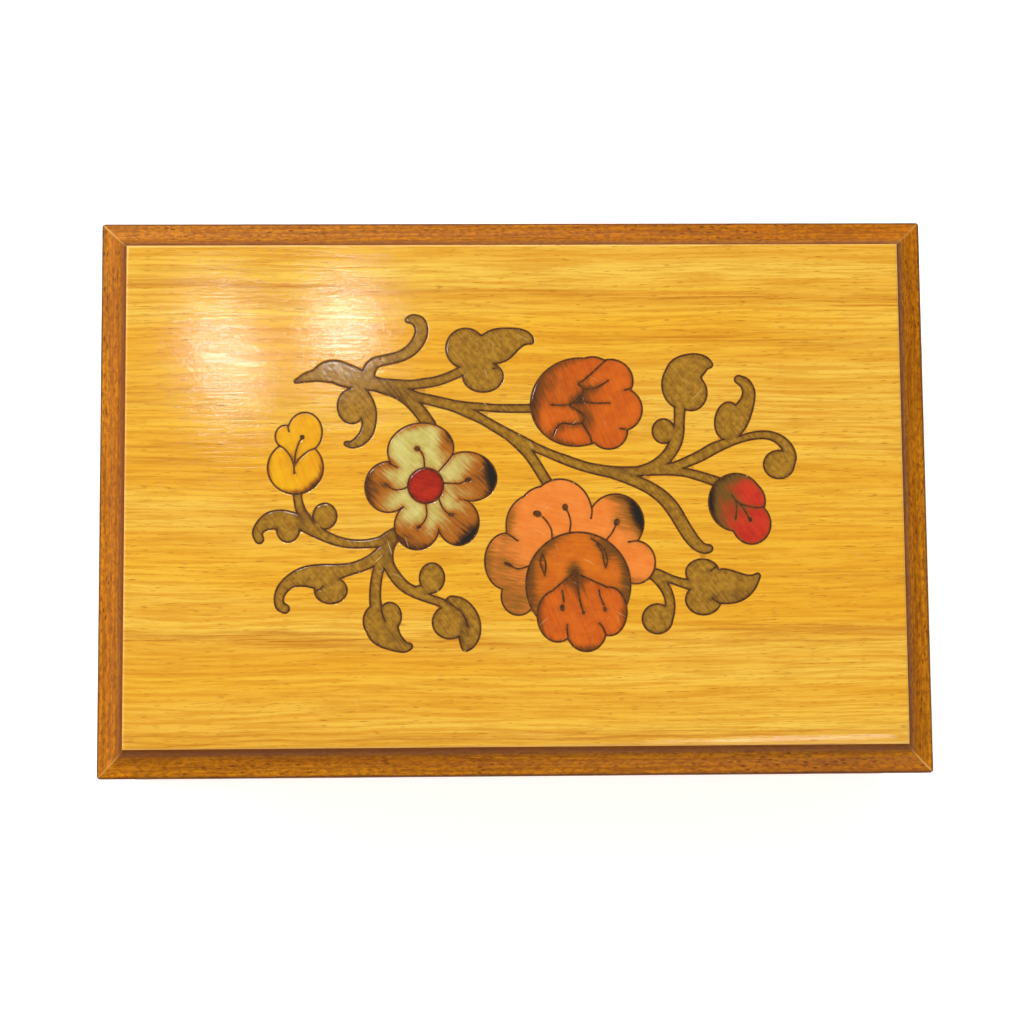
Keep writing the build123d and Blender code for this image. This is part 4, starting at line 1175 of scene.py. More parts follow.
@dataclass(frozen=True)
class StainedBeech(Finish):
    """Stained and lacquered beech with flecks. A moulding is worn at its mitres and has painted shade at its
    outer arris and beside the panel.
    """

    name: str = "moulding_beech"
    light: Color = srgb(234, 149, 14)
    dark: Color = srgb(202, 114, 4)
    moulding: bool = True
    coat: float = 0.12
    coat_roughness: float = 0.24
    specular: float = 0.1

    def paint(self, on: Surface) -> None:
        """Fill in the beech.

        Args:
            on: The material's nodes.
        """
        graph, place = on.graph, on.place
        along = graph.attribute("grain", "Vector") if self.moulding else place
        grain = graph.group(on.effects.grain, Vector=along, Band_Width=0.0028, Wave=0.35, Seed=2.6)
        flecks = graph.group(on.effects.flecks, Vector=along, Density=0.62)["Flecks"]
        color = graph.blend(graph.times(grain["Bands"], 0.7), self.light, self.dark)
        color = graph.blend(graph.times(grain["Lines"], 0.5), color, srgb(140, 72, 8))
        figure = graph.noise(along, (900.0, 1700.0, 1700.0), 3.0, 0.6, 0.6)
        color = graph.blend(graph.remap(figure, 0.4, 0.62, 0.0, 0.6), color, srgb(150, 80, 8))
        color = graph.blend(graph.times(grain["Pores"], 0.3), color, srgb(110, 52, 6))
        patch = graph.noise(place, 70.0, 3.0)
        color = graph.blend(
            graph.times(flecks, graph.remap(patch, 0.4, 0.6, 0.35, 0.85)), color, srgb(104, 48, 8)
        )
        if self.moulding:
            color = self._wear(graph, color, place, patch)
        film = graph.group(on.effects.lacquer, Vector=place, Peel=0.8, Scratches=0.6, Roughness=0.42)
        height = graph.minus(film["Height"], graph.times(flecks, 0.5))
        on.fill(color, film["Roughness"], height, 0.00003, 0.6)

    @staticmethod
    def _wear(graph: Graph, color: Socket, place: Socket, patch: Socket) -> Socket:
        """Rub the mitres pale as wear, and paint shade on the lid's outer arris and in the corner beside the
        panel.

        Args:
            graph: The material's nodes.
            color: The beech's colour.
            place: Object coordinates in metres.
            patch: Where the rubbing is stronger.

        Returns:
            The new colour.
        """
        x, y, z = graph.split(place)
        from_end = graph.minus(graph.size(x), SIZES.length / 2 * MM)
        from_side = graph.minus(graph.size(y), SIZES.width / 2 * MM)
        mitre = graph.size(graph.minus(from_end, from_side))
        inward = graph.times(graph.math("MAXIMUM", from_end, from_side), -1.0)
        rub = graph.times(
            graph.remap(mitre, 0.00008, 0.00034, 1.0, 0.0), graph.remap(patch, 0.36, 0.52, 0.35, 0.8)
        )
        color = graph.blend(rub, color, srgb(236, 178, 92))
        # Painted shadow: the lid's outer arris and the top of its outer face are darkened as if turned away
        # from the light.
        arris = graph.times(graph.remap(inward, 0.0001, 0.0007, 0.9, 0.0), graph.remap(z, 0.0528, 0.055))
        color = graph.blend(arris, color, srgb(74, 30, 2))
        # Painted shade, with some grime: the steep cove darkens towards the corner beside the panel.
        corner = graph.remap(inward, (SIZES.cove_width - 2.6) * MM, (SIZES.cove_width - 0.3) * MM, 0.0, 0.8)
        return graph.blend(corner, color, srgb(98, 42, 0))


@dataclass(frozen=True)
class PlainBoard(Finish):
    """Bare board or plywood inside the box."""

    name: str = "ply_board"

    def paint(self, on: Surface) -> None:
        """Fill in the board.

        Args:
            on: The material's nodes.
        """
        graph = on.graph
        grain = graph.group(on.effects.grain, Vector=on.place, Band_Width=0.005, Wave=0.6, Seed=5.2)
        color = graph.blend(grain["Bands"], srgb(206, 164, 108), srgb(176, 130, 78))
        color = graph.blend(graph.times(grain["Pores"], 0.5), color, srgb(120, 78, 40))
        on.fill(color, graph.remap(grain["Lines"], 0.0, 1.0, 0.5, 0.66), grain["Lines"], 0.00003, 0.5)


@dataclass(frozen=True)
class Cloth(Finish):
    """Velvet or felt."""

    name: str = "lining_velvet"
    # deep and lit are the shaded colour and the sheen-lit colour of one cloth.
    deep: Color = srgb(112, 10, 22)
    lit: Color = srgb(136, 18, 30)
    fibre: float = 0.0003
    sheen: float = 0.8

    def paint(self, on: Surface) -> None:
        """Fill in the cloth.

        Args:
            on: The material's nodes.
        """
        graph = on.graph
        pile = graph.group(on.effects.pile, Vector=on.place, Fibre=self.fibre)
        # Painted sheen: brushed patches of nap are painted in the lighter lit colour.
        color = graph.blend(pile["Brushed"], self.deep, self.lit)
        color = graph.blend(graph.remap(pile["Height"], 0.3, 0.7, 0.0, 0.3), color, srgb(60, 2, 8))
        on.shader.inputs["Sheen Roughness"].default_value = 0.4
        on.fill(color, 0.9, pile["Height"], 0.00025, 0.7)


@dataclass(frozen=True)
class Brass(Finish):
    """Brushed brass with light tarnish."""

    name: str = "hinge_brass"

    def paint(self, on: Surface) -> None:
        """Fill in the brass.

        Args:
            on: The material's nodes.
        """
        graph = on.graph
        brushed = graph.noise(on.place, (40.0, 4200.0, 4200.0), 2.0)
        stain = graph.noise(on.place, 240.0, 4.0, 0.6)
        color = graph.blend(graph.remap(stain, 0.42, 0.72), srgb(226, 184, 102), srgb(164, 118, 52))
        on.shader.inputs["Metallic"].default_value = 1.0
        on.fill(color, graph.remap(stain, 0.3, 0.7, 0.24, 0.5), brushed, 0.00001, 0.5)


@dataclass(frozen=True)
class PaleFloor(Finish):
    """Plain pale studio floor with a little light of its own, which keeps shadows faint."""

    name: str = "studio_floor"
    glow: float = 0.52

    def paint(self, on: Surface) -> None:
        """Fill in the floor.

        Args:
            on: The material's nodes.
        """
        graph, inputs = on.graph, on.shader.inputs
        faint = graph.remap(graph.noise(on.place, 9.0, 2.0), 0.3, 0.7, 0.0, 0.3)
        graph.join(graph.blend(faint, srgb(250, 250, 250), srgb(244, 244, 243)), inputs["Base Color"])
        inputs["Roughness"].default_value = 0.8
        inputs["Emission Color"].default_value = (1.0, 1.0, 1.0, 1.0)
        inputs["Emission Strength"].default_value = self.glow


class Palette:
    """Every material of the box, by its name."""

    def __init__(self) -> None:
        """Build the shared groups and every material."""
        effects = Effects()
        finishes: tuple[Finish, ...] = (
            GoldenVeneer("panel_veneer", streaks=PANEL_STREAKS, kerf_edge=True),
            GoldenVeneer(),
            GoldenVeneer("golden_veneer_side", run=Run.ACROSS),
            InlayVeneer(
                "olive_veneer", srgb(190, 138, 36), srgb(138, 92, 14), srgb(100, 62, 18), 1100.0, 0.9, 1.6
            ),
            InlayVeneer(
                "yellow_veneer", srgb(252, 186, 8), srgb(238, 156, 2), srgb(160, 90, 4), 300.0, 1.2, 0.6
            ),
            InlayVeneer(
                "cream_scorched_veneer", srgb(226, 212, 126), srgb(200, 178, 84), srgb(180, 102, 18), 420.0,
                0.75, 1.2
            ),
            InlayVeneer(
                "centre_red_veneer", srgb(196, 46, 14), srgb(160, 28, 6), srgb(110, 24, 8), 600.0, 0.3, 0.8
            ),
            InlayVeneer(
                "orange_veneer", srgb(228, 108, 14), srgb(200, 86, 6), srgb(128, 66, 8), 400.0, 1.2, 1.0
            ),
            InlayVeneer(
                "peach_veneer", srgb(252, 146, 58), srgb(240, 126, 38), srgb(158, 96, 22), 400.0, 0.2, 0.9
            ),
            InlayVeneer(
                "heart_orange_veneer", srgb(228, 120, 16), srgb(206, 98, 8), srgb(122, 72, 12), 400.0, 0.08,
                1.0
            ),
            InlayVeneer(
                "bud_red_veneer", srgb(216, 58, 28), srgb(190, 38, 18), srgb(112, 82, 22), 420.0, 1.0, 0.8
            ),
            KerfFiller(),
            StainedBeech(),
            StainedBeech("wall_beech", srgb(190, 128, 62), srgb(160, 98, 40), moulding=False, coat=0.3),
            PlainBoard(),
            Cloth(),
            Cloth("base_felt_cloth", srgb(70, 8, 14), srgb(98, 16, 22), 0.0009, 0.25),
            Brass(),
            PaleFloor(),
        )
        self.materials = {finish.name: finish.build(effects) for finish in finishes}

    def __getitem__(self, name: str) -> bpy.types.Material:
        """One material."""
        return self.materials[name]


def linked(name: str, data: bpy.types.ID) -> bpy.types.Object:
    """A new object in the scene.

    Args:
        name: Its name.
        data: What it shows.

    Returns:
        The object.
    """
    thing = bpy.data.objects.new(name, data)
    bpy.context.scene.collection.objects.link(thing)
    return thing


def mesh_object(name: str, mesh: bpy.types.Mesh, sharp_above: float | None = None) -> bpy.types.Object:
    """Show a mesh as an object at the origin.

    Args:
        name: The object's name.
        mesh: Its mesh.
        sharp_above: Angle in degrees above which its edges stay sharp. Without one its faces stay flat.

    Returns:
        The object.
    """
    if sharp_above is not None:
        mesh.shade_smooth()
        mesh.set_sharp_from_angle(angle=math.radians(sharp_above))
    return linked(name, mesh)


def mesh_from(
    name: str, points: np.ndarray, faces: list[tuple[int, ...]], material: bpy.types.Material
) -> bpy.types.Mesh:
    """A mesh of one material.

    Args:
        name: Its name.
        points: Its points in metres.
        faces: Point numbers of each face.
        material: Its material.

    Returns:
        The mesh.
    """
    mesh = bpy.data.meshes.new(name)
    mesh.from_pydata(points.tolist(), [], faces)
    mesh.update()
    mesh.materials.append(material)
    return mesh


def mesh_from_tree(tree: bpy.types.NodeTree, name: str, values: dict[str, object]) -> bpy.types.Mesh:
    """The plain mesh that a Geometry Nodes tree makes.

    Args:
        tree: The tree.
        name: The mesh's name.
        values: The tree's inputs by name.

    Returns:
        The mesh.
    """
    holder = linked(f"{name}_maker", bpy.data.meshes.new(f"{name}_maker"))
    modifier = holder.modifiers.new(tree.name, "NODES")
    modifier.node_group = tree
    sockets = {item.name: item.identifier for item in tree.interface.items_tree if item.in_out == "INPUT"}
    for label, value in values.items():
        modifier[sockets[label]] = value
    bpy.context.view_layer.update()
    mesh = bpy.data.meshes.new_from_object(holder.evaluated_get(bpy.context.evaluated_depsgraph_get()))
    mesh.name = name
    holder.modifiers.remove(modifier)
    bpy.data.objects.remove(holder)
    return mesh


def store_values(mesh: bpy.types.Mesh, label: str, values: np.ndarray) -> None:
    """Store a value on each point of a mesh."""
    mesh.attributes.new(label, "FLOAT", "POINT").data.foreach_set("value", values.astype(np.float32))


def settle(thing: bpy.types.Object, body: str, node: str) -> None:
    """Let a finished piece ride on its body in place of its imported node.

    Args:
        thing: The piece.
        body: The body that it moves with.
        node: The node that it stands for.
    """
    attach(thing, body)
    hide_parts(node)


@dataclass
class Marquetry:
    """The veneered panel of the lid: the ground, the inlaid pieces and the filler in the saw cuts."""

    sizes: BoxSizes
    kerf: float = 0.3
    cut_half_width: float = 0.14
    filler_sunk: float = 0.03
    drawing: tuple[float, float] = (145.0, 94.0)
    outline_spacing: float = 0.2
    lattice: float = 0.5
    lattice_row: float = 0.866
    lattice_margin: float = 0.22
    rim_band: tuple[float, float] = (0.7, 0.6)
    wide_lattice: float = 5.0
    wide_margins: tuple[float, float] = (4.0, 2.0)
    wide_from_pocket: float = 1.6
    edge_reach: float = 0.6
    scorch_fall: float = 0.9
    edge_roll: float = 0.4
    front_fall: tuple[float, float] = (0.2, 2.7)
    border_insets: tuple[float, ...] = (0.0, 0.05, 0.12, 0.22, 0.4, 0.55, 0.7, 1.1, 1.6, 2.1, 2.7, 3.0)
    border_spacing: float = 2.5
    sheet: Sheet = field(default_factory=lambda: Sheet((-54.0, -33.0), (55.0, 36.0), 0.1))

    @property
    def scale(self) -> float:
        """Millimetres on the lid for a millimetre of the drawing."""
        return min(self.sizes.field[0] / self.drawing[0], self.sizes.field[1] / self.drawing[1])

    def build(self, palette: Palette) -> None:
        """Make every piece of the panel.

        Args:
            palette: The materials.
        """
        pieces, pocket = self._cut_out()
        for inlay in INLAYS:
            values = pieces[inlay.name]
            mesh = self._flat_piece(inlay.name, values, self.lattice, palette[inlay.slot])
            self._shade(mesh, values, inlay)
            settle(mesh_object(inlay.name, mesh), "lid", f"inlay_{inlay.name}")
        filler = np.maximum(pocket, -np.minimum.reduce(list(pieces.values())))
        paste = self._flat_piece("kerf_paste", filler, 0.0, palette["kerf_filler_paste"], self.filler_sunk)
        settle(mesh_object("kerf_paste", paste), "lid", "kerf_filler")
        ground = self._ground(pocket, palette["panel_veneer"])
        settle(mesh_object("ground_veneer", ground, 40), "lid", "lid_ground_veneer")
        LOG.info("marquetry: %d inlaid pieces, filler and ground", len(INLAYS))

    def _cut_out(self) -> tuple[dict[str, np.ndarray], np.ndarray]:
        """Distances of every piece and of the pocket for all of them.

        Returns:
            The pieces' grids by name, and the pocket's grid.
        """
        half_kerf = self.kerf / 2
        outlines = {inlay.name: self._shape(inlay.lobes, inlay.strokes) for inlay in INLAYS}
        pieces = {}
        for inlay in INLAYS:
            piece = outlines[inlay.name] + half_kerf
            for neighbour in inlay.in_front:
                piece = np.maximum(piece, half_kerf - outlines[neighbour])
            lines = tuple(tuple((x, y, self.cut_half_width) for x, y in line) for line in inlay.cuts)
            pieces[inlay.name] = np.maximum(piece, -self._shape(inlay.dots, lines))
        return pieces, np.minimum.reduce(list(outlines.values())) - half_kerf

    def _shape(self, lobes: Rows, strokes: tuple[Rows, ...]) -> np.ndarray:
        """Distances of a shape of lobes and strokes.

        Args:
            lobes: Its lobes.
            strokes: Its strokes.

        Returns:
            The grid.
        """
        values = self.sheet.blank()
        for lobe in lobes:
            self.sheet.add_lobe(values, lobe)
        for stroke in strokes:
            self.sheet.add_stroke(values, stroke)
        return values

    def _flat_piece(
        self, name: str, values: np.ndarray, lattice: float, material: bpy.types.Material, sunk: float = 0.0
    ) -> bpy.types.Mesh:
        """A flat closed piece from its distances.

        Args:
            name: The piece's name.
            values: Its distances.
            lattice: Spacing of the points inside it, or 0 for none.
            material: Its material.
            sunk: How far its top lies below the lid's top.

        Returns:
            The mesh.
        """
        loops = self.sheet.outlines(values, self.outline_spacing)
        inside = self._lattice(values, lattice) if lattice else np.empty((0, 2))
        corners, triangles = self._triangles(loops, inside, lambda x, y: self.sheet.read(values, x, y) < 0)
        top = np.full(len(corners), self.sizes.lid_top - sunk)
        return self._closed(name, corners * self.scale, top, triangles, material)

    def _lattice(self, values: np.ndarray, spacing: float) -> np.ndarray:
        """Points spread evenly inside a piece, clear of its edge.

        Args:
            values: The piece's distances.
            spacing: Distance between points.

        Returns:
            The points.
        """
        xs = np.arange(self.sheet.x[0], self.sheet.x[-1], spacing)
        ys = np.arange(self.sheet.y[0], self.sheet.y[-1], spacing * self.lattice_row)
        gx, gy = np.meshgrid(xs, ys)
        gx = gx + (np.arange(len(ys)) % 2)[:, None] * spacing / 2
        gx, gy = gx.ravel(), gy.ravel()
        keep = self.sheet.read(values, gx, gy) < -self.lattice_margin
        return np.column_stack([gx[keep], gy[keep]])

    @staticmethod
    def _triangles(
        loops: list[np.ndarray], inside: np.ndarray, wanted: Callable[[np.ndarray, np.ndarray], np.ndarray]
    ) -> tuple[np.ndarray, np.ndarray]:
        """Triangles between closed lines and loose points.

        Args:
            loops: The closed lines.
            inside: The loose points.
            wanted: Says for x and y whether the material is there.

        Returns:
            The corners, and the triangles' corner numbers, turned the same way.
        """
        edges = []
        start = 0
        for loop in loops:
            count = len(loop)
            edges += [(start + k, start + (k + 1) % count) for k in range(count)]
            start += count
        points = [Vector(point) for point in np.vstack([*loops, inside]).tolist()]
        corners, _, faces, *_ = delaunay_2d_cdt(points, edges, [], 0, 1e-6)
        corners = np.array([(c.x, c.y) for c in corners])
        faces = np.array(faces)
        a, b, c = corners[faces[:, 0]], corners[faces[:, 1]], corners[faces[:, 2]]
        area = (b[:, 0] - a[:, 0]) * (c[:, 1] - a[:, 1]) - (b[:, 1] - a[:, 1]) * (c[:, 0] - a[:, 0])
        middle = (a + b + c) / 3
        faces[area < 0] = faces[area < 0][:, ::-1]
        faces = faces[(np.abs(area) > 1e-7) & wanted(middle[:, 0], middle[:, 1])]
        used, renumbered = np.unique(faces, return_inverse=True)
        return corners[used], renumbered.reshape(-1, 3)

    def _closed(
        self, name: str, corners: np.ndarray, top: np.ndarray, triangles: np.ndarray,
        material: bpy.types.Material
    ) -> bpy.types.Mesh:
        """A closed piece from its top triangles.

        Args:
            name: The piece's name.
            corners: x and y of its corners.
            top: Height of each corner.
            triangles: The top's triangles.
            material: Its material.

        Returns:
            The mesh.
        """
        count = len(corners)
        low = np.full(count, self.sizes.rail_top)
        points = np.vstack([np.column_stack([corners, top]), np.column_stack([corners, low])]) * MM
        upper = [tuple(face) for face in triangles.tolist()]
        directed = {(face[k], face[(k + 1) % 3]) for face in upper for k in range(3)}
        faces = upper + [tuple(corner + count for corner in reversed(face)) for face in upper]
        faces += [(a + count, b + count, b, a) for a, b in sorted(directed) if (b, a) not in directed]
        return mesh_from(name, points, faces, material)

    def _drawn_at(self, mesh: bpy.types.Mesh) -> tuple[np.ndarray, np.ndarray]:
        """x and y on the drawing for each point of a piece."""
        x, y, _ = np.array([vertex.co for vertex in mesh.vertices]).T / MM / self.scale
        return x, y

    def _shade(self, mesh: bpy.types.Mesh, values: np.ndarray, inlay: Inlay) -> None:
        """Store the distance from the edge and the sand shading on a piece.

        Args:
            mesh: The piece.
            values: Its distances.
            inlay: How it is drawn.
        """
        x, y = self._drawn_at(mesh)
        edge = np.maximum(-self.sheet.read(values, x, y), 0.0)
        amount = inlay.edge_scorch * np.exp(-edge / self.edge_reach)
        for scorch in inlay.scorches:
            c, s = math.cos(math.radians(scorch.turn)), math.sin(math.radians(scorch.turn))
            dx, dy = x - scorch.x, y - scorch.y
            u = (dx * c + dy * s) / scorch.half_length
            v = (dy * c - dx * s) / scorch.half_height
            amount += scorch.strength * np.exp(-(u**2 + v**2) * self.scorch_fall)
        store_values(mesh, "edge", edge)
        store_values(mesh, "scorch", amount)

    def _ground(self, pocket: np.ndarray, material: bpy.types.Material) -> bpy.types.Mesh:
        """The ground veneer, with its outer edge rolled over and the pocket cut out.

        Args:
            pocket: Distances of the pocket.
            material: Its material.

        Returns:
            The mesh.
        """
        half_x, half_y = (side / 2 / self.scale for side in self.sizes.field)
        loops = self.sheet.outlines(pocket, self.outline_spacing)
        loops += [
            self._rectangle(
                half_x - inset, half_y - inset, self.border_spacing
            ) for inset in self.border_insets
        ]
        middle, half_band = self.rim_band
        near = self._lattice(np.abs(pocket - middle) - half_band, self.lattice)
        first, last = self.wide_margins
        xs, ys = (np.arange(first - half, half - last, self.wide_lattice) for half in (half_x, half_y))
        wide = np.array([(x, y) for x in xs for y in ys])
        wide = wide[self.sheet.read(pocket, *wide.T) > self.wide_from_pocket]
        corners, triangles = self._triangles(
            loops, np.vstack([near, wide]), lambda x, y: self.sheet.read(pocket, x, y) > 0
        )
        inset = np.minimum(half_x - np.abs(corners[:, 0]), half_y - np.abs(corners[:, 1]))
        across = np.clip(self.edge_roll - inset, 0, self.edge_roll)
        drop = self.edge_roll - np.sqrt(np.maximum(self.edge_roll**2 - across**2, 0))
        fall, width = self.front_fall
        drop += fall * (np.clip(width - half_y - corners[:, 1], 0, width) / width) ** 2
        top = self.sizes.lid_top - drop
        mesh = self._closed("ground_veneer", corners * self.scale, top, triangles, material)
        store_values(mesh, "edge", np.maximum(self.sheet.read(pocket, *self._drawn_at(mesh)), 0.0))
        return mesh

    @staticmethod
    def _rectangle(half_x: float, half_y: float, spacing: float) -> np.ndarray:
        """Points round a rectangle.

        Args:
            half_x: Half its length.
            half_y: Half its width.
            spacing: Distance between points.

        Returns:
            The points.
        """
        corners = np.array([(-half_x, -half_y), (half_x, -half_y), (half_x, half_y), (-half_x, half_y)])
        line = []
        for start, end in zip(corners, np.roll(corners, -1, axis=0)):
            count = max(int(np.abs(end - start).sum() / spacing), 1)
            line += [start + (end - start) * k / count for k in range(count)]
        return np.array(line)


@dataclass(frozen=True)
class Side:
    """One side of a frame: its name, turn in degrees and whether it is a long one."""

    name: str
    turn: float
    long: bool


SIDES = (Side("front", 0, True), Side("right", 90, False), Side("back", 180, True), Side("left", 270, False))


@dataclass(frozen=True)
class RailProfile:
    """Section of a coved rail in millimetres: inward from its outer face, and up."""

    bottom: float
    top: float
    cove_width: float
    cove_depth: float
    rebate_low: float
    rebate_high: float
    ease: float = 0.25
    cove_steps: int = 14
    arris_steps: int = 6

    def points(self, sizes: BoxSizes) -> list[tuple[float, float]]:
        """The section's points, anticlockwise.

        Args:
            sizes: Sizes of the box.

        Returns:
            Inward distance and height of each point.
        """
        width, arris = sizes.rail_width, sizes.arris
        ledge = width - sizes.rebate_width
        line = [(self.ease, self.bottom)]
        if self.rebate_low > self.bottom:
            line += [
                (width, self.bottom), (width, self.rebate_low), (ledge, self.rebate_low), (ledge, self.top)
            ]
        else:
            line += [
                (ledge, self.bottom), (ledge, self.rebate_high), (width, self.rebate_high), (width, self.top)
            ]
        line.append((self.cove_width, self.top))
        cove_low = self.top - self.cove_depth
        for step in range(1, self.cove_steps + 1):
            angle = math.radians(90 * step / self.cove_steps)
            inward = arris + (self.cove_width - arris) * math.cos(angle)
            line.append((inward, self.top - self.cove_depth * math.sin(angle)))
        for step in range(1, self.arris_steps + 1):
            angle = math.radians(90 + 90 * step / self.arris_steps)
            line.append((arris + arris * math.cos(angle), cove_low - arris + arris * math.sin(angle)))
        line.append((0.0, self.bottom + self.ease))
        return line


@dataclass
class Mouldings:
    """The coved rails of the lid and of the plinth, made by one Geometry Nodes tree."""

    sizes: BoxSizes
    hinges: HingeSizes
    segments: int = 120
    barrel_radius: float = 1.8
    barrel_end_room: float = 0.8
    leaf_room: Triple = (22.6, 6.7, 2.2)
    hole_radius: float = 0.8
    hole_length: float = 9.8

    def build(self, palette: Palette) -> None:
        """Make the eight rails.

        Args:
            palette: The materials.
        """
        size = self.sizes
        tree = self._tree()
        hinge_room = self._hinge_room()
        lid = RailProfile(
            size.lid_bottom, size.rail_top, size.cove_width, size.cove_depth,
            size.rail_top - size.core_thickness, size.rail_top,
        )
        plinth = RailProfile(
            size.plinth_bottom, size.plinth_top, size.overhang, size.plinth_cove_depth,
            size.plinth_bottom, size.plinth_bottom + size.base_thickness,
        )
        for frame_name, body, profile in (("lid_rail", "lid", lid), ("plinth", "box", plinth)):
            outline = self._profile_curve(frame_name, profile)
            for number, side in enumerate(SIDES):
                node = f"{frame_name}_{side.name}"
                run, depth = (size.length, size.width) if side.long else (size.width, size.length)
                values = {
                    "Profile": outline, "Run": run * MM, "Face Distance": depth / 2 * MM,
                    "Turn": math.radians(side.turn), "Half Length": size.length / 2 * MM,
                    "Half Width": size.width / 2 * MM, "Corner Radius": size.corner_radius * MM,
                    "Segments": self.segments, "Seed": float(number), "Material": palette["moulding_beech"],
                    "Cutter": hinge_room, "Cut": node == "lid_rail_back",
                }
                rail = mesh_object(f"{node}_moulding", mesh_from_tree(tree, f"{node}_moulding", values), 32)
                settle(rail, body, node)
            bpy.data.objects.remove(outline)
        bpy.data.objects.remove(hinge_room)
        LOG.info("mouldings: eight mitred rails")

    def _profile_curve(self, name: str, profile: RailProfile) -> bpy.types.Object:
        """The section as a closed curve that the tree sweeps.

        Args:
            name: The frame's name.
            profile: The section.

        Returns:
            The curve object.
        """
        points = profile.points(self.sizes)
        curve = bpy.data.curves.new(f"{name}_profile", "CURVE")
        curve.dimensions = "3D"
        spline = curve.splines.new("POLY")
        spline.points.add(len(points) - 1)
        for target, (inward, height) in zip(spline.points, points):
            target.co = (inward * MM, height * MM, 0.0, 1.0)
        spline.use_cyclic_u = True
        return linked(curve.name, curve)

    def _hinge_room(self) -> bpy.types.Object:
        """The room for both hinges and their screws, to be cut from the back rail of the lid.

        Returns:
            The cutting object.
        """
        shapes = bmesh.new()
        hinges = self.hinges
        upright = Matrix.Identity(4)
        lying = Matrix.Rotation(math.radians(90), 4, "Y")
        for x in (-hinges.x, hinges.x):
            barrel = hinges.length + 2 * self.barrel_end_room
            rods = [(lying, (x, hinges.y, hinges.z), self.barrel_radius, barrel)]
            for hole in (-hinges.screw_spacing / 2, hinges.screw_spacing / 2):
                rods.append(
                    (upright, (x + hole, hinges.screw_y, hinges.z), self.hole_radius, self.hole_length)
                )
            for turn, middle, radius, length in rods:
                bmesh.ops.create_cone(
                    shapes, cap_ends=True, segments=32, radius1=radius * MM, radius2=radius * MM,
                    depth=length * MM,
                    matrix=Matrix.Translation(Vector(middle) * MM) @ turn,
                )
            middle = Vector((x, hinges.y - self.leaf_room[1] / 2, hinges.z)) * MM
            size = Matrix.Diagonal((*(side * MM for side in self.leaf_room), 1.0))
            bmesh.ops.create_cube(shapes, size=1.0, matrix=Matrix.Translation(middle) @ size)
        mesh = bpy.data.meshes.new("hinge_room")
        shapes.to_mesh(mesh)
        shapes.free()
        return linked("hinge_room", mesh)

    def _tree(self) -> bpy.types.NodeTree:
        """The tree that sweeps a section along one side of a frame, mitres it and rounds its corners.

        Returns:
            The tree.
        """
        inputs = {
            "Profile": "Object", "Run": 0.1, "Face Distance": 0.05, "Turn": 0.0, "Half Length": 0.07,
            "Half Width": 0.05, "Corner Radius": 0.001, "Segments": 100, "Wear": 0.00006, "Seed": 0.0,
            "Material": "Material", "Cutter": "Object", "Cut": False,
        }
        graph = Group("Mitred Moulding", inputs, ("Geometry",), "Geometry")
        line = graph.add(
            "GeometryNodeCurvePrimitiveLine", {"Start": (-1.0, 0.0, 0.0), "End": (1.0, 0.0, 0.0)}
        )
        steps = graph.add("GeometryNodeResampleCurve", {"Curve": line.outputs[0], "Count": graph["Segments"]})
        section = graph.add(
            "GeometryNodeObjectInfo", {"Object": graph["Profile"]}, transform_space="ORIGINAL"
        )
        swept = graph.add("GeometryNodeCurveToMesh", {
            "Curve": steps.outputs[0], "Profile Curve": section.outputs["Geometry"], "Fill Caps": True,
        })
        shaped = self._moved(graph, swept, self._mitred(graph))
        placed = self._moved(graph, shaped, self._rounded(graph))
        cutter = graph.add("GeometryNodeObjectInfo", {"Object": graph["Cutter"]}, transform_space="ORIGINAL")
        cut = graph.add(
            "GeometryNodeMeshBoolean",
            {"Mesh 1": placed.outputs[0], "Mesh 2": cutter.outputs["Geometry"], "Self Intersection": True},
            operation="DIFFERENCE", solver="EXACT",
        )
        chosen = graph.add(
            "GeometryNodeSwitch",
            {"Switch": graph["Cut"], "False": placed.outputs[0], "True": cut.outputs["Mesh"]},
            input_type="GEOMETRY",
        )
        here = graph.add("GeometryNodeInputPosition").outputs[0]
        shift = graph.joined(graph.times(graph["Seed"], 0.37), graph["Face Distance"])
        grain = graph.vector("ADD", graph.turned(here, graph.times(graph["Turn"], -1.0)), shift)
        stored = graph.add(
            "GeometryNodeStoreNamedAttribute",
            {"Geometry": chosen.outputs[0], "Name": "grain", "Value": grain},
            data_type="FLOAT_VECTOR", domain="POINT",
        )
        return finished(graph, stored)

    @staticmethod
    def _moved(graph: Group, shape: bpy.types.Node, position: Socket) -> bpy.types.Node:
        """A shape with its points moved."""
        return graph.add("GeometryNodeSetPosition", {"Geometry": shape.outputs[0], "Position": position})

    @staticmethod
    def _mitred(graph: Group) -> Socket:
        """Where a point of the swept section belongs on a mitred rail that lies along the front.

        Args:
            graph: The tree.

        Returns:
            The place.
        """
        share, across, height = graph.split(graph.add("GeometryNodeInputPosition").outputs[0])
        inward, level = graph.times(across, -1.0), graph.times(height, -1.0)
        rest = graph.minus(1.0, graph.size(share))
        gathered = graph.minus(1.0, graph.math("POWER", rest, 1.8))
        place = graph.times(graph.math("SIGN", share), gathered)
        along = graph.times(place, graph.minus(graph.times(graph["Run"], 0.5), inward))
        seeded = graph.joined(graph.math("MULTIPLY_ADD", graph["Seed"], 0.37, along), inward, level)
        dents = graph.times(graph.noise(seeded, 130.0, 2.0), graph["Wear"])
        worn = graph.times(dents, graph.remap(inward, 0.0, 0.0012, 1.0, 0.0))
        back = graph.minus(graph.plus(inward, worn), graph["Face Distance"])
        return graph.joined(along, back, level)

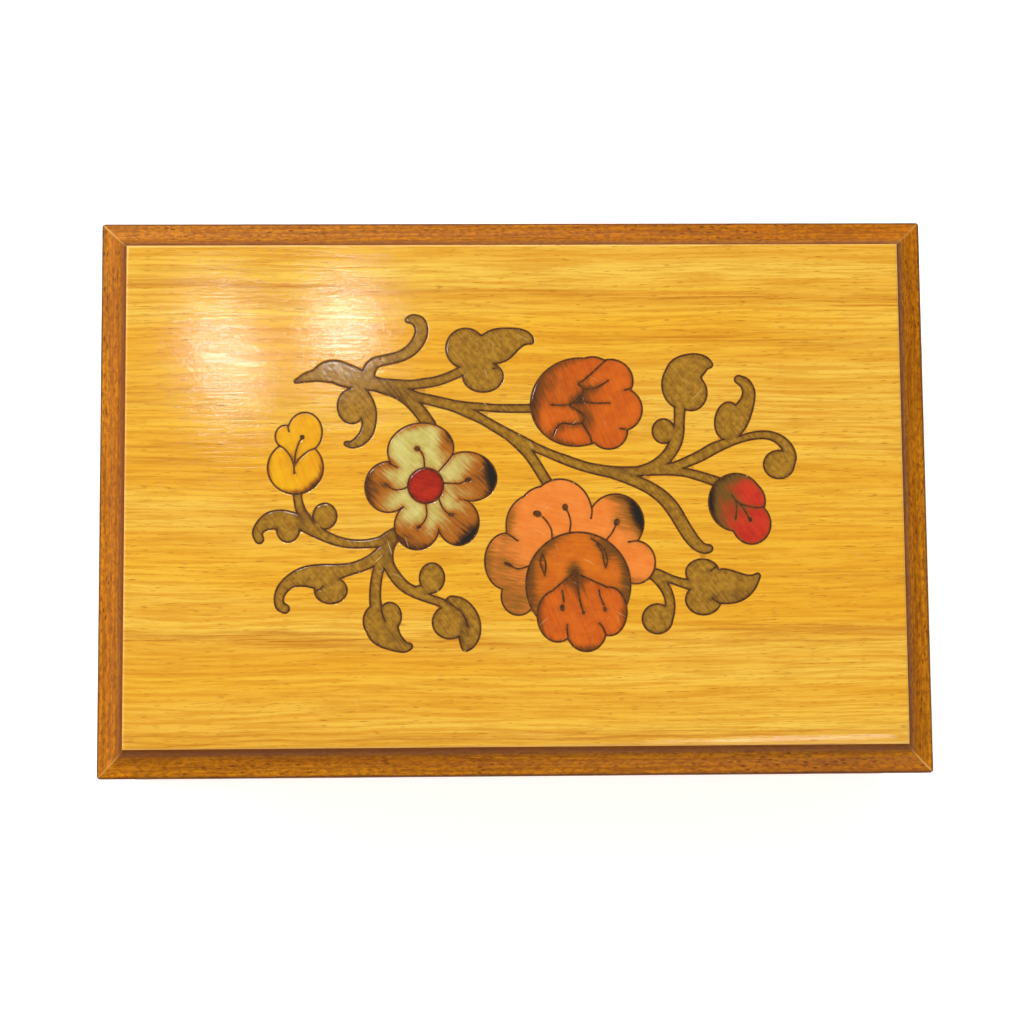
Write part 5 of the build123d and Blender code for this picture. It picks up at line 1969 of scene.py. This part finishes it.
    @staticmethod
    def _rounded(graph: Group) -> Socket:
        """Where a point belongs once the rail is turned to its side and the frame's corners are rounded.

        Args:
            graph: The tree.

        Returns:
            The place.
        """
        x, y, z = graph.split(graph.turned(graph.add("GeometryNodeInputPosition").outputs[0], graph["Turn"]))
        radius = graph["Corner Radius"]
        over_x = graph.minus(graph.size(x), graph.minus(graph["Half Length"], radius))
        over_y = graph.minus(graph.size(y), graph.minus(graph["Half Width"], radius))
        squares = [graph.math("POWER", graph.math("MAXIMUM", over, 0.0), 2.0) for over in (over_x, over_y)]
        reach = graph.math("SQRT", graph.plus(*squares))
        outside = graph.times(
            graph.math("GREATER_THAN", over_x, 0.0), graph.math("GREATER_THAN", over_y, 0.0)
        )
        outside = graph.times(outside, graph.math("GREATER_THAN", reach, radius))
        share = graph.math("DIVIDE", radius, graph.math("MAXIMUM", reach, 1e-6))
        pull = graph.times(graph.minus(1.0, share), outside)
        places = [
            graph.minus(place, graph.times(graph.math("SIGN", place), graph.times(over, pull)))
            for place, over in ((x, over_x), (y, over_y))
        ]
        return graph.joined(*places, z)


def finished(graph: Group, shape: bpy.types.Node) -> bpy.types.NodeTree:
    """End a Geometry Nodes tree with real geometry of its material.

    Args:
        graph: The tree.
        shape: The node that makes its shape.

    Returns:
        The tree.
    """
    realized = graph.add("GeometryNodeRealizeInstances", {"Geometry": shape.outputs[0]})
    dressed = graph.add(
        "GeometryNodeSetMaterial", {"Geometry": realized.outputs[0], "Material": graph["Material"]}
    )
    return graph.give(dressed.outputs[0])


@dataclass
class HingeScrews:
    """The countersunk screws of the hinges, placed by one Geometry Nodes tree."""

    hinges: HingeSizes
    leaf_step: float = 0.1
    head_radius: float = 1.45
    shank_radius: float = 0.78
    length: float = 4.5
    driver_slot: Triple = (4.0, 0.35, 0.6)

    def build(self, palette: Palette) -> None:
        """Make the screws of the box and those of the lid.

        Args:
            palette: The materials.
        """
        tree = self._tree()
        for body, level, seed in (("box", -1.0, 8), ("lid", 1.0, 3)):
            values = {
                "Hinge Distance": self.hinges.x * MM, "Screw Spacing": self.hinges.screw_spacing * MM,
                "Row Distance": self.hinges.screw_y * MM,
                "Height": (self.hinges.z + level * self.leaf_step) * MM,
                "Head Radius": self.head_radius * MM, "Shank Radius": self.shank_radius * MM,
                "Length": self.length * MM, "Level": level, "Seed": seed, "Material": palette["hinge_brass"],
            }
            row = mesh_object(f"{body}_screws", mesh_from_tree(tree, f"{body}_screws", values), 30)
            settle(row, body, f"{body}_hinge_screws")
        LOG.info("screws: four in the box and four in the lid")

    def _tree(self) -> bpy.types.NodeTree:
        """The tree that makes one slotted screw and sets it at four places.

        Returns:
            The tree.
        """
        inputs = {
            "Hinge Distance": 0.04, "Screw Spacing": 0.01, "Row Distance": 0.045, "Height": 0.05,
            "Head Radius": 0.0015, "Shank Radius": 0.0008, "Length": 0.0045, "Level": 1.0, "Seed": 3,
            "Material": "Material",
        }
        graph = Group("Screw Row", inputs, ("Geometry",), "Geometry")
        number = graph.add("GeometryNodeInputIndex").outputs[0]
        hinge = graph.math("MULTIPLY_ADD", graph.math("FLOOR", graph.math("DIVIDE", number, 2.0)), 2.0, -1.0)
        hole = graph.math("MULTIPLY_ADD", graph.math("MODULO", number, 2.0), 2.0, -1.0)
        x = graph.times(hinge, graph["Hinge Distance"])
        x = graph.plus(x, graph.times(hole, graph.times(graph["Screw Spacing"], 0.5)))
        position = graph.joined(x, graph["Row Distance"], graph["Height"])
        places = graph.add("GeometryNodePoints", {"Count": 4, "Position": position})
        head = graph.add("GeometryNodeMeshCone", {
            "Vertices": 40, "Radius Top": graph["Shank Radius"], "Radius Bottom": graph["Head Radius"],
            "Depth": graph.minus(graph["Head Radius"], graph["Shank Radius"]),
        })
        shank = graph.add("GeometryNodeMeshCylinder", {
            "Vertices": 24, "Radius": graph["Shank Radius"], "Depth": graph["Length"],
        })
        lifted = graph.add("GeometryNodeTransform", {
            "Geometry": shank.outputs[0],
            "Translation": graph.joined(0.0, 0.0, graph.times(graph["Length"], 0.5)),
        })
        body = graph.add("GeometryNodeMeshBoolean", operation="UNION", solver="EXACT")
        graph.join(head.outputs[0], body.inputs["Mesh 2"])
        graph.join(lifted.outputs[0], body.inputs["Mesh 2"])
        slot = graph.add("GeometryNodeMeshCube", {"Size": tuple(side * MM for side in self.driver_slot)})
        screw = graph.add(
            "GeometryNodeMeshBoolean", {"Mesh 1": body.outputs["Mesh"], "Mesh 2": slot.outputs[0]},
            operation="DIFFERENCE", solver="EXACT",
        )
        flip = graph.times(graph.math("LESS_THAN", graph["Level"], 0.0), math.pi)
        spin = graph.add(
            "FunctionNodeRandomValue", {2: 0.0, 3: math.pi, "Seed": graph["Seed"]}, data_type="FLOAT"
        )
        set_in = graph.add("GeometryNodeInstanceOnPoints", {
            "Points": places.outputs[0], "Instance": screw.outputs["Mesh"],
            "Rotation": graph.joined(flip, 0.0, spin.outputs[1]),
        })
        return finished(graph, set_in)


class Facing(Enum):
    """The way that a lining pad faces: its axis and sign."""

    UP = (2, 1)
    DOWN = (2, -1)
    LEFT = (0, -1)
    RIGHT = (0, 1)
    FRONT = (1, -1)
    BACK = (1, 1)


@dataclass
class Linings:
    """Velvet pads inside the box and the felt under it. Lengths are in metres."""

    pitch: float = 0.0011
    roll: float = 0.0016
    edge_share: float = 0.42
    body: float = 0.38
    swell: float = 0.17
    swell_power: float = 0.35
    tuck: float = 0.02
    tuck_spacing: tuple[float, float] = (0.021, 0.017)
    tuck_reach: float = 0.006
    draw: float = 0.00004
    fill: float = 0.5
    felt_corner: float = 0.0012
    felt_ease: float = 0.0003

    def build(self, palette: Palette) -> None:
        """Make the pads and the felt.

        Args:
            palette: The materials.
        """
        pads = (
            ("lining_floor", "box", Facing.UP), ("lining_front", "box", Facing.BACK),
            ("lining_back", "box", Facing.FRONT), ("lining_left", "box", Facing.RIGHT),
            ("lining_right", "box", Facing.LEFT), ("lid_lining", "lid", Facing.DOWN),
        )
        for number, (node, body, facing) in enumerate(pads):
            pad = mesh_object(f"{node}_pad", self._pad(node, facing, number, palette["lining_velvet"]), 60)
            settle(pad, body, node)
        felt = mesh_object("base_felt_sheet", self._felt(palette["base_felt_cloth"]), 50)
        settle(felt, "box", "base_felt")
        LOG.info("cloth: six velvet pads and the base felt")

    def _pad(self, node: str, facing: Facing, seed: int, material: bpy.types.Material) -> bpy.types.Mesh:
        """One crowned pad in the room of its node, flat at its back.

        Args:
            node: The node that it stands for.
            facing: The way that it faces.
            seed: Start of its tucks.
            material: Its material.

        Returns:
            The mesh.
        """
        low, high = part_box(node)
        axis, sign = facing.value
        first, second = (k for k in range(3) if k != axis)
        sides = [high[k] - low[k] for k in (first, second)]
        spread = [np.linspace(0, side, max(int(side / self.pitch), 8) + 1) for side in sides]
        gu, gv = np.meshgrid(*spread, indexing="ij")
        draw_u, draw_v = self._drawn_in(gu, gv, sides, seed)
        base = low[axis] if sign > 0 else high[axis]
        front = base + sign * (high[axis] - low[axis]) * self._crown(gu, gv, sides, seed)
        layers = np.zeros((2, *gu.shape, 3))
        layers[..., first] = low[first] + gu + draw_u
        layers[..., second] = low[second] + gv + draw_v
        layers[0, ..., axis] = front
        layers[1, ..., axis] = base
        rows, columns = gu.shape
        grid = np.arange(rows * columns).reshape(rows, columns)
        quads = np.stack([grid[:-1, :-1], grid[1:, :-1], grid[1:, 1:], grid[:-1, 1:]], axis=-1).reshape(-1, 4)
        back = quads[:, ::-1] + rows * columns
        rim = np.concatenate([grid[:, 0], grid[-1, 1:], grid[-2::-1, -1], grid[0, -2:0:-1]])
        following = np.roll(rim, -1)
        skirt = np.stack([rim + rows * columns, following + rows * columns, following, rim], axis=-1)
        faces = np.vstack([quads, back, skirt])
        if (sign < 0) != (axis == 1):
            faces = faces[:, ::-1]
        return mesh_from(
            f"{node}_pad", layers.reshape(-1, 3), [tuple(face) for face in faces.tolist()], material
        )

    def _crown(self, gu: np.ndarray, gv: np.ndarray, sides: list[float], seed: int) -> np.ndarray:
        """Share of its full thickness that a pad has at each point.

        Args:
            gu: Distance along its first side.
            gv: Distance along its second side.
            sides: Its two sides.
            seed: Start of its tucks.

        Returns:
            The shares.
        """
        to_edge = np.minimum(np.minimum(gu, sides[0] - gu), np.minimum(gv, sides[1] - gv))
        over = np.clip(1 - to_edge / self.roll, 0, 1)
        rolled = np.sqrt(np.maximum(1 - over**2, 0))
        swell = (np.sin(math.pi * gu / sides[0]) * np.sin(math.pi * gv / sides[1])) ** self.swell_power
        first, second = (2 * math.pi / spacing for spacing in self.tuck_spacing)
        tucks = np.sin(gu * first + seed) * np.sin(gv * second + 2 * seed) * np.exp(
            -to_edge / self.tuck_reach
        )
        return self.edge_share + rolled * (self.body + self.swell * swell + self.tuck * tucks)

    def _drawn_in(
        self, gu: np.ndarray, gv: np.ndarray, sides: list[float], seed: int
    ) -> tuple[np.ndarray, np.ndarray]:
        """How far the pad's sides draw in between its corners.

        Args:
            gu: Distance along its first side.
            gv: Distance along its second side.
            sides: Its two sides.
            seed: Start of its tucks.

        Returns:
            Shift along its first side and along its second.
        """
        u, v = gu / sides[0], gv / sides[1]
        waver = self.draw * (1 + 0.25 * np.sin(u * 19 + seed) * np.sin(v * 13 + seed))
        return waver * np.sin(math.pi * v) * (1 - 2 * u), waver * np.sin(math.pi * u) * (1 - 2 * v)

    def _felt(self, material: bpy.types.Material) -> bpy.types.Mesh:
        """The felt under the base, a sheet with softened edges.

        Args:
            material: Its material.

        Returns:
            The mesh.
        """
        low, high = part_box("base_felt")
        radius = self.felt_corner
        outline = []
        for corner_x, corner_y, start in ((1, -1, 270), (1, 1, 0), (-1, 1, 90), (-1, -1, 180)):
            centre = (corner_x * (high.x - radius), corner_y * (high.y - radius))
            for angle in np.radians(start + 15 * np.arange(7)):
                outline.append((centre[0] + radius * math.cos(angle), centre[1] + radius * math.sin(angle)))
        ring = np.array(outline)
        count = len(ring)
        levels = (
            (low.z, self.felt_ease), (low.z + self.felt_ease, 0.0), (high.z - 0.0002, 0.0), (high.z, 0.0)
        )
        points = [
            np.column_stack([ring * (1 - inset / np.abs(ring).max()), np.full(count, height)])
            for height, inset in levels
        ]
        faces = []
        for start in range(0, (len(levels) - 1) * count, count):
            for k in range(count):
                after = (k + 1) % count
                faces.append((start + k, start + after, start + count + after, start + count + k))
        faces.append(tuple(range(count - 1, -1, -1)))
        faces.append(tuple(range((len(levels) - 1) * count, len(levels) * count)))
        return mesh_from("base_felt_sheet", np.vstack(points), faces, material)


@dataclass(frozen=True)
class Lamp:
    """A soft area light that points at the lid: its place and size in metres, and its power in watts."""

    name: str
    place: Triple
    size: tuple[float, float]
    power: float


@dataclass
class Studio:
    """Floor, light and camera."""

    camera_place: Triple = (-0.0135, -0.0529, 0.5049)
    camera_turn: Triple = (6.35, -1.6, -0.48)
    lens: float = 84.4
    sensor: float = 36.0
    world_strength: float = 0.24
    lamps_aim: Triple = (0.0, 0.0, 0.06)
    lamps: tuple[Lamp, ...] = (
        Lamp("key_light", (-0.75, 1.25, 1.2), (2.4, 2.0), 31.0),
        Lamp("left_light", (-1.3, -0.1, 1.0), (1.6, 1.4), 6.5),
        Lamp("front_light", (0.9, -1.2, 1.5), (2.0, 1.8), 14.5),
        Lamp("edge_strip", (0.23, -0.25, 1.3), (0.26, 0.07), 0.3),
        Lamp("window_far", (-0.082, 0.258, 1.261), (0.04, 0.04), 0.115),
        Lamp("window_near", (-0.164, 0.239, 1.261), (0.028, 0.06), 0.115),
    )
    floor_half: float = 2.0
    floor_steps: int = 20

    def build(self, palette: Palette) -> None:
        """Set up the stage.

        Args:
            palette: The materials.
        """
        self._floor(palette["studio_floor"])
        self._camera()
        self._world()
        for lamp in self.lamps:
            self._light(lamp)
        LOG.info("studio: floor, camera and %d lights", len(self.lamps))

    def _floor(self, material: bpy.types.Material) -> None:
        """A wide floor of squares.

        Args:
            material: Its material.
        """
        count = self.floor_steps + 1
        steps = np.linspace(-self.floor_half, self.floor_half, count)
        points = np.array([(x, y, 0.0) for y in steps for x in steps])
        starts = [row * count + k for row in range(self.floor_steps) for k in range(self.floor_steps)]
        faces = [(start, start + 1, start + count + 1, start + count) for start in starts]
        mesh_object("studio_floor", mesh_from("studio_floor", points, faces, material))

    def _camera(self) -> None:
        """The camera above the lid."""
        data = bpy.data.cameras.new("camera")
        data.lens = self.lens
        data.sensor_width = self.sensor
        data.sensor_fit = "HORIZONTAL"
        camera = linked("camera", data)
        camera.location = self.camera_place
        camera.rotation_euler = [math.radians(angle) for angle in self.camera_turn]
        bpy.context.scene.camera = camera

    def _world(self) -> None:
        """Even white light from all round."""
        world = bpy.data.worlds.new("studio_world")
        world.use_nodes = True
        background = world.node_tree.nodes["Background"]
        background.inputs["Color"].default_value = (1.0, 1.0, 1.0, 1.0)
        background.inputs["Strength"].default_value = self.world_strength
        bpy.context.scene.world = world

    def _light(self, lamp: Lamp) -> None:
        """Set up one lamp.

        Args:
            lamp: The lamp.
        """
        data = bpy.data.lights.new(lamp.name, "AREA")
        data.shape = "ELLIPSE"
        data.size, data.size_y = lamp.size
        data.energy = lamp.power
        light = linked(lamp.name, data)
        light.location = lamp.place
        away = Vector(lamp.place) - Vector(self.lamps_aim)
        light.rotation_euler = away.to_track_quat("Z", "Y").to_euler()


NODE_FINISHES: dict[str, str] = {
    "base_panel": "ply_board",
    "lid_core": "ply_board",
    **{f"wall_{side.name}": "wall_beech" for side in SIDES},
    **{f"wall_veneer_{side.name}": "golden_veneer" if side.long else "golden_veneer_side" for side in SIDES},
    **{
        f"hinge_{end}_{part}": "hinge_brass" for end in ("left", "right") for part in (
            "box_leaf", "lid_leaf", "pin"
        )
    },
}


def dress_nodes(palette: Palette) -> None:
    """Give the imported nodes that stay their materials.

    Args:
        palette: The materials.
    """
    for name, finish in NODE_FINISHES.items():
        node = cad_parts[name]
        if not node.material_slots:
            node.data.materials.append(palette[finish])
        for slot in node.material_slots:
            slot.material = palette[finish]
    LOG.info("packed nodes: %d dressed", len(NODE_FINISHES))


def main() -> None:
    """Build the scene in order."""
    logging.basicConfig(level=logging.INFO, format="%(name)s: %(message)s")
    bpy.context.scene.view_settings.view_transform = "Standard"
    palette = Palette()
    dress_nodes(palette)
    Mouldings(SIZES, HINGES).build(palette)
    HingeScrews(HINGES).build(palette)
    Linings().build(palette)
    Marquetry(SIZES).build(palette)
    Studio().build(palette)


if __name__ == "__main__":
    main()
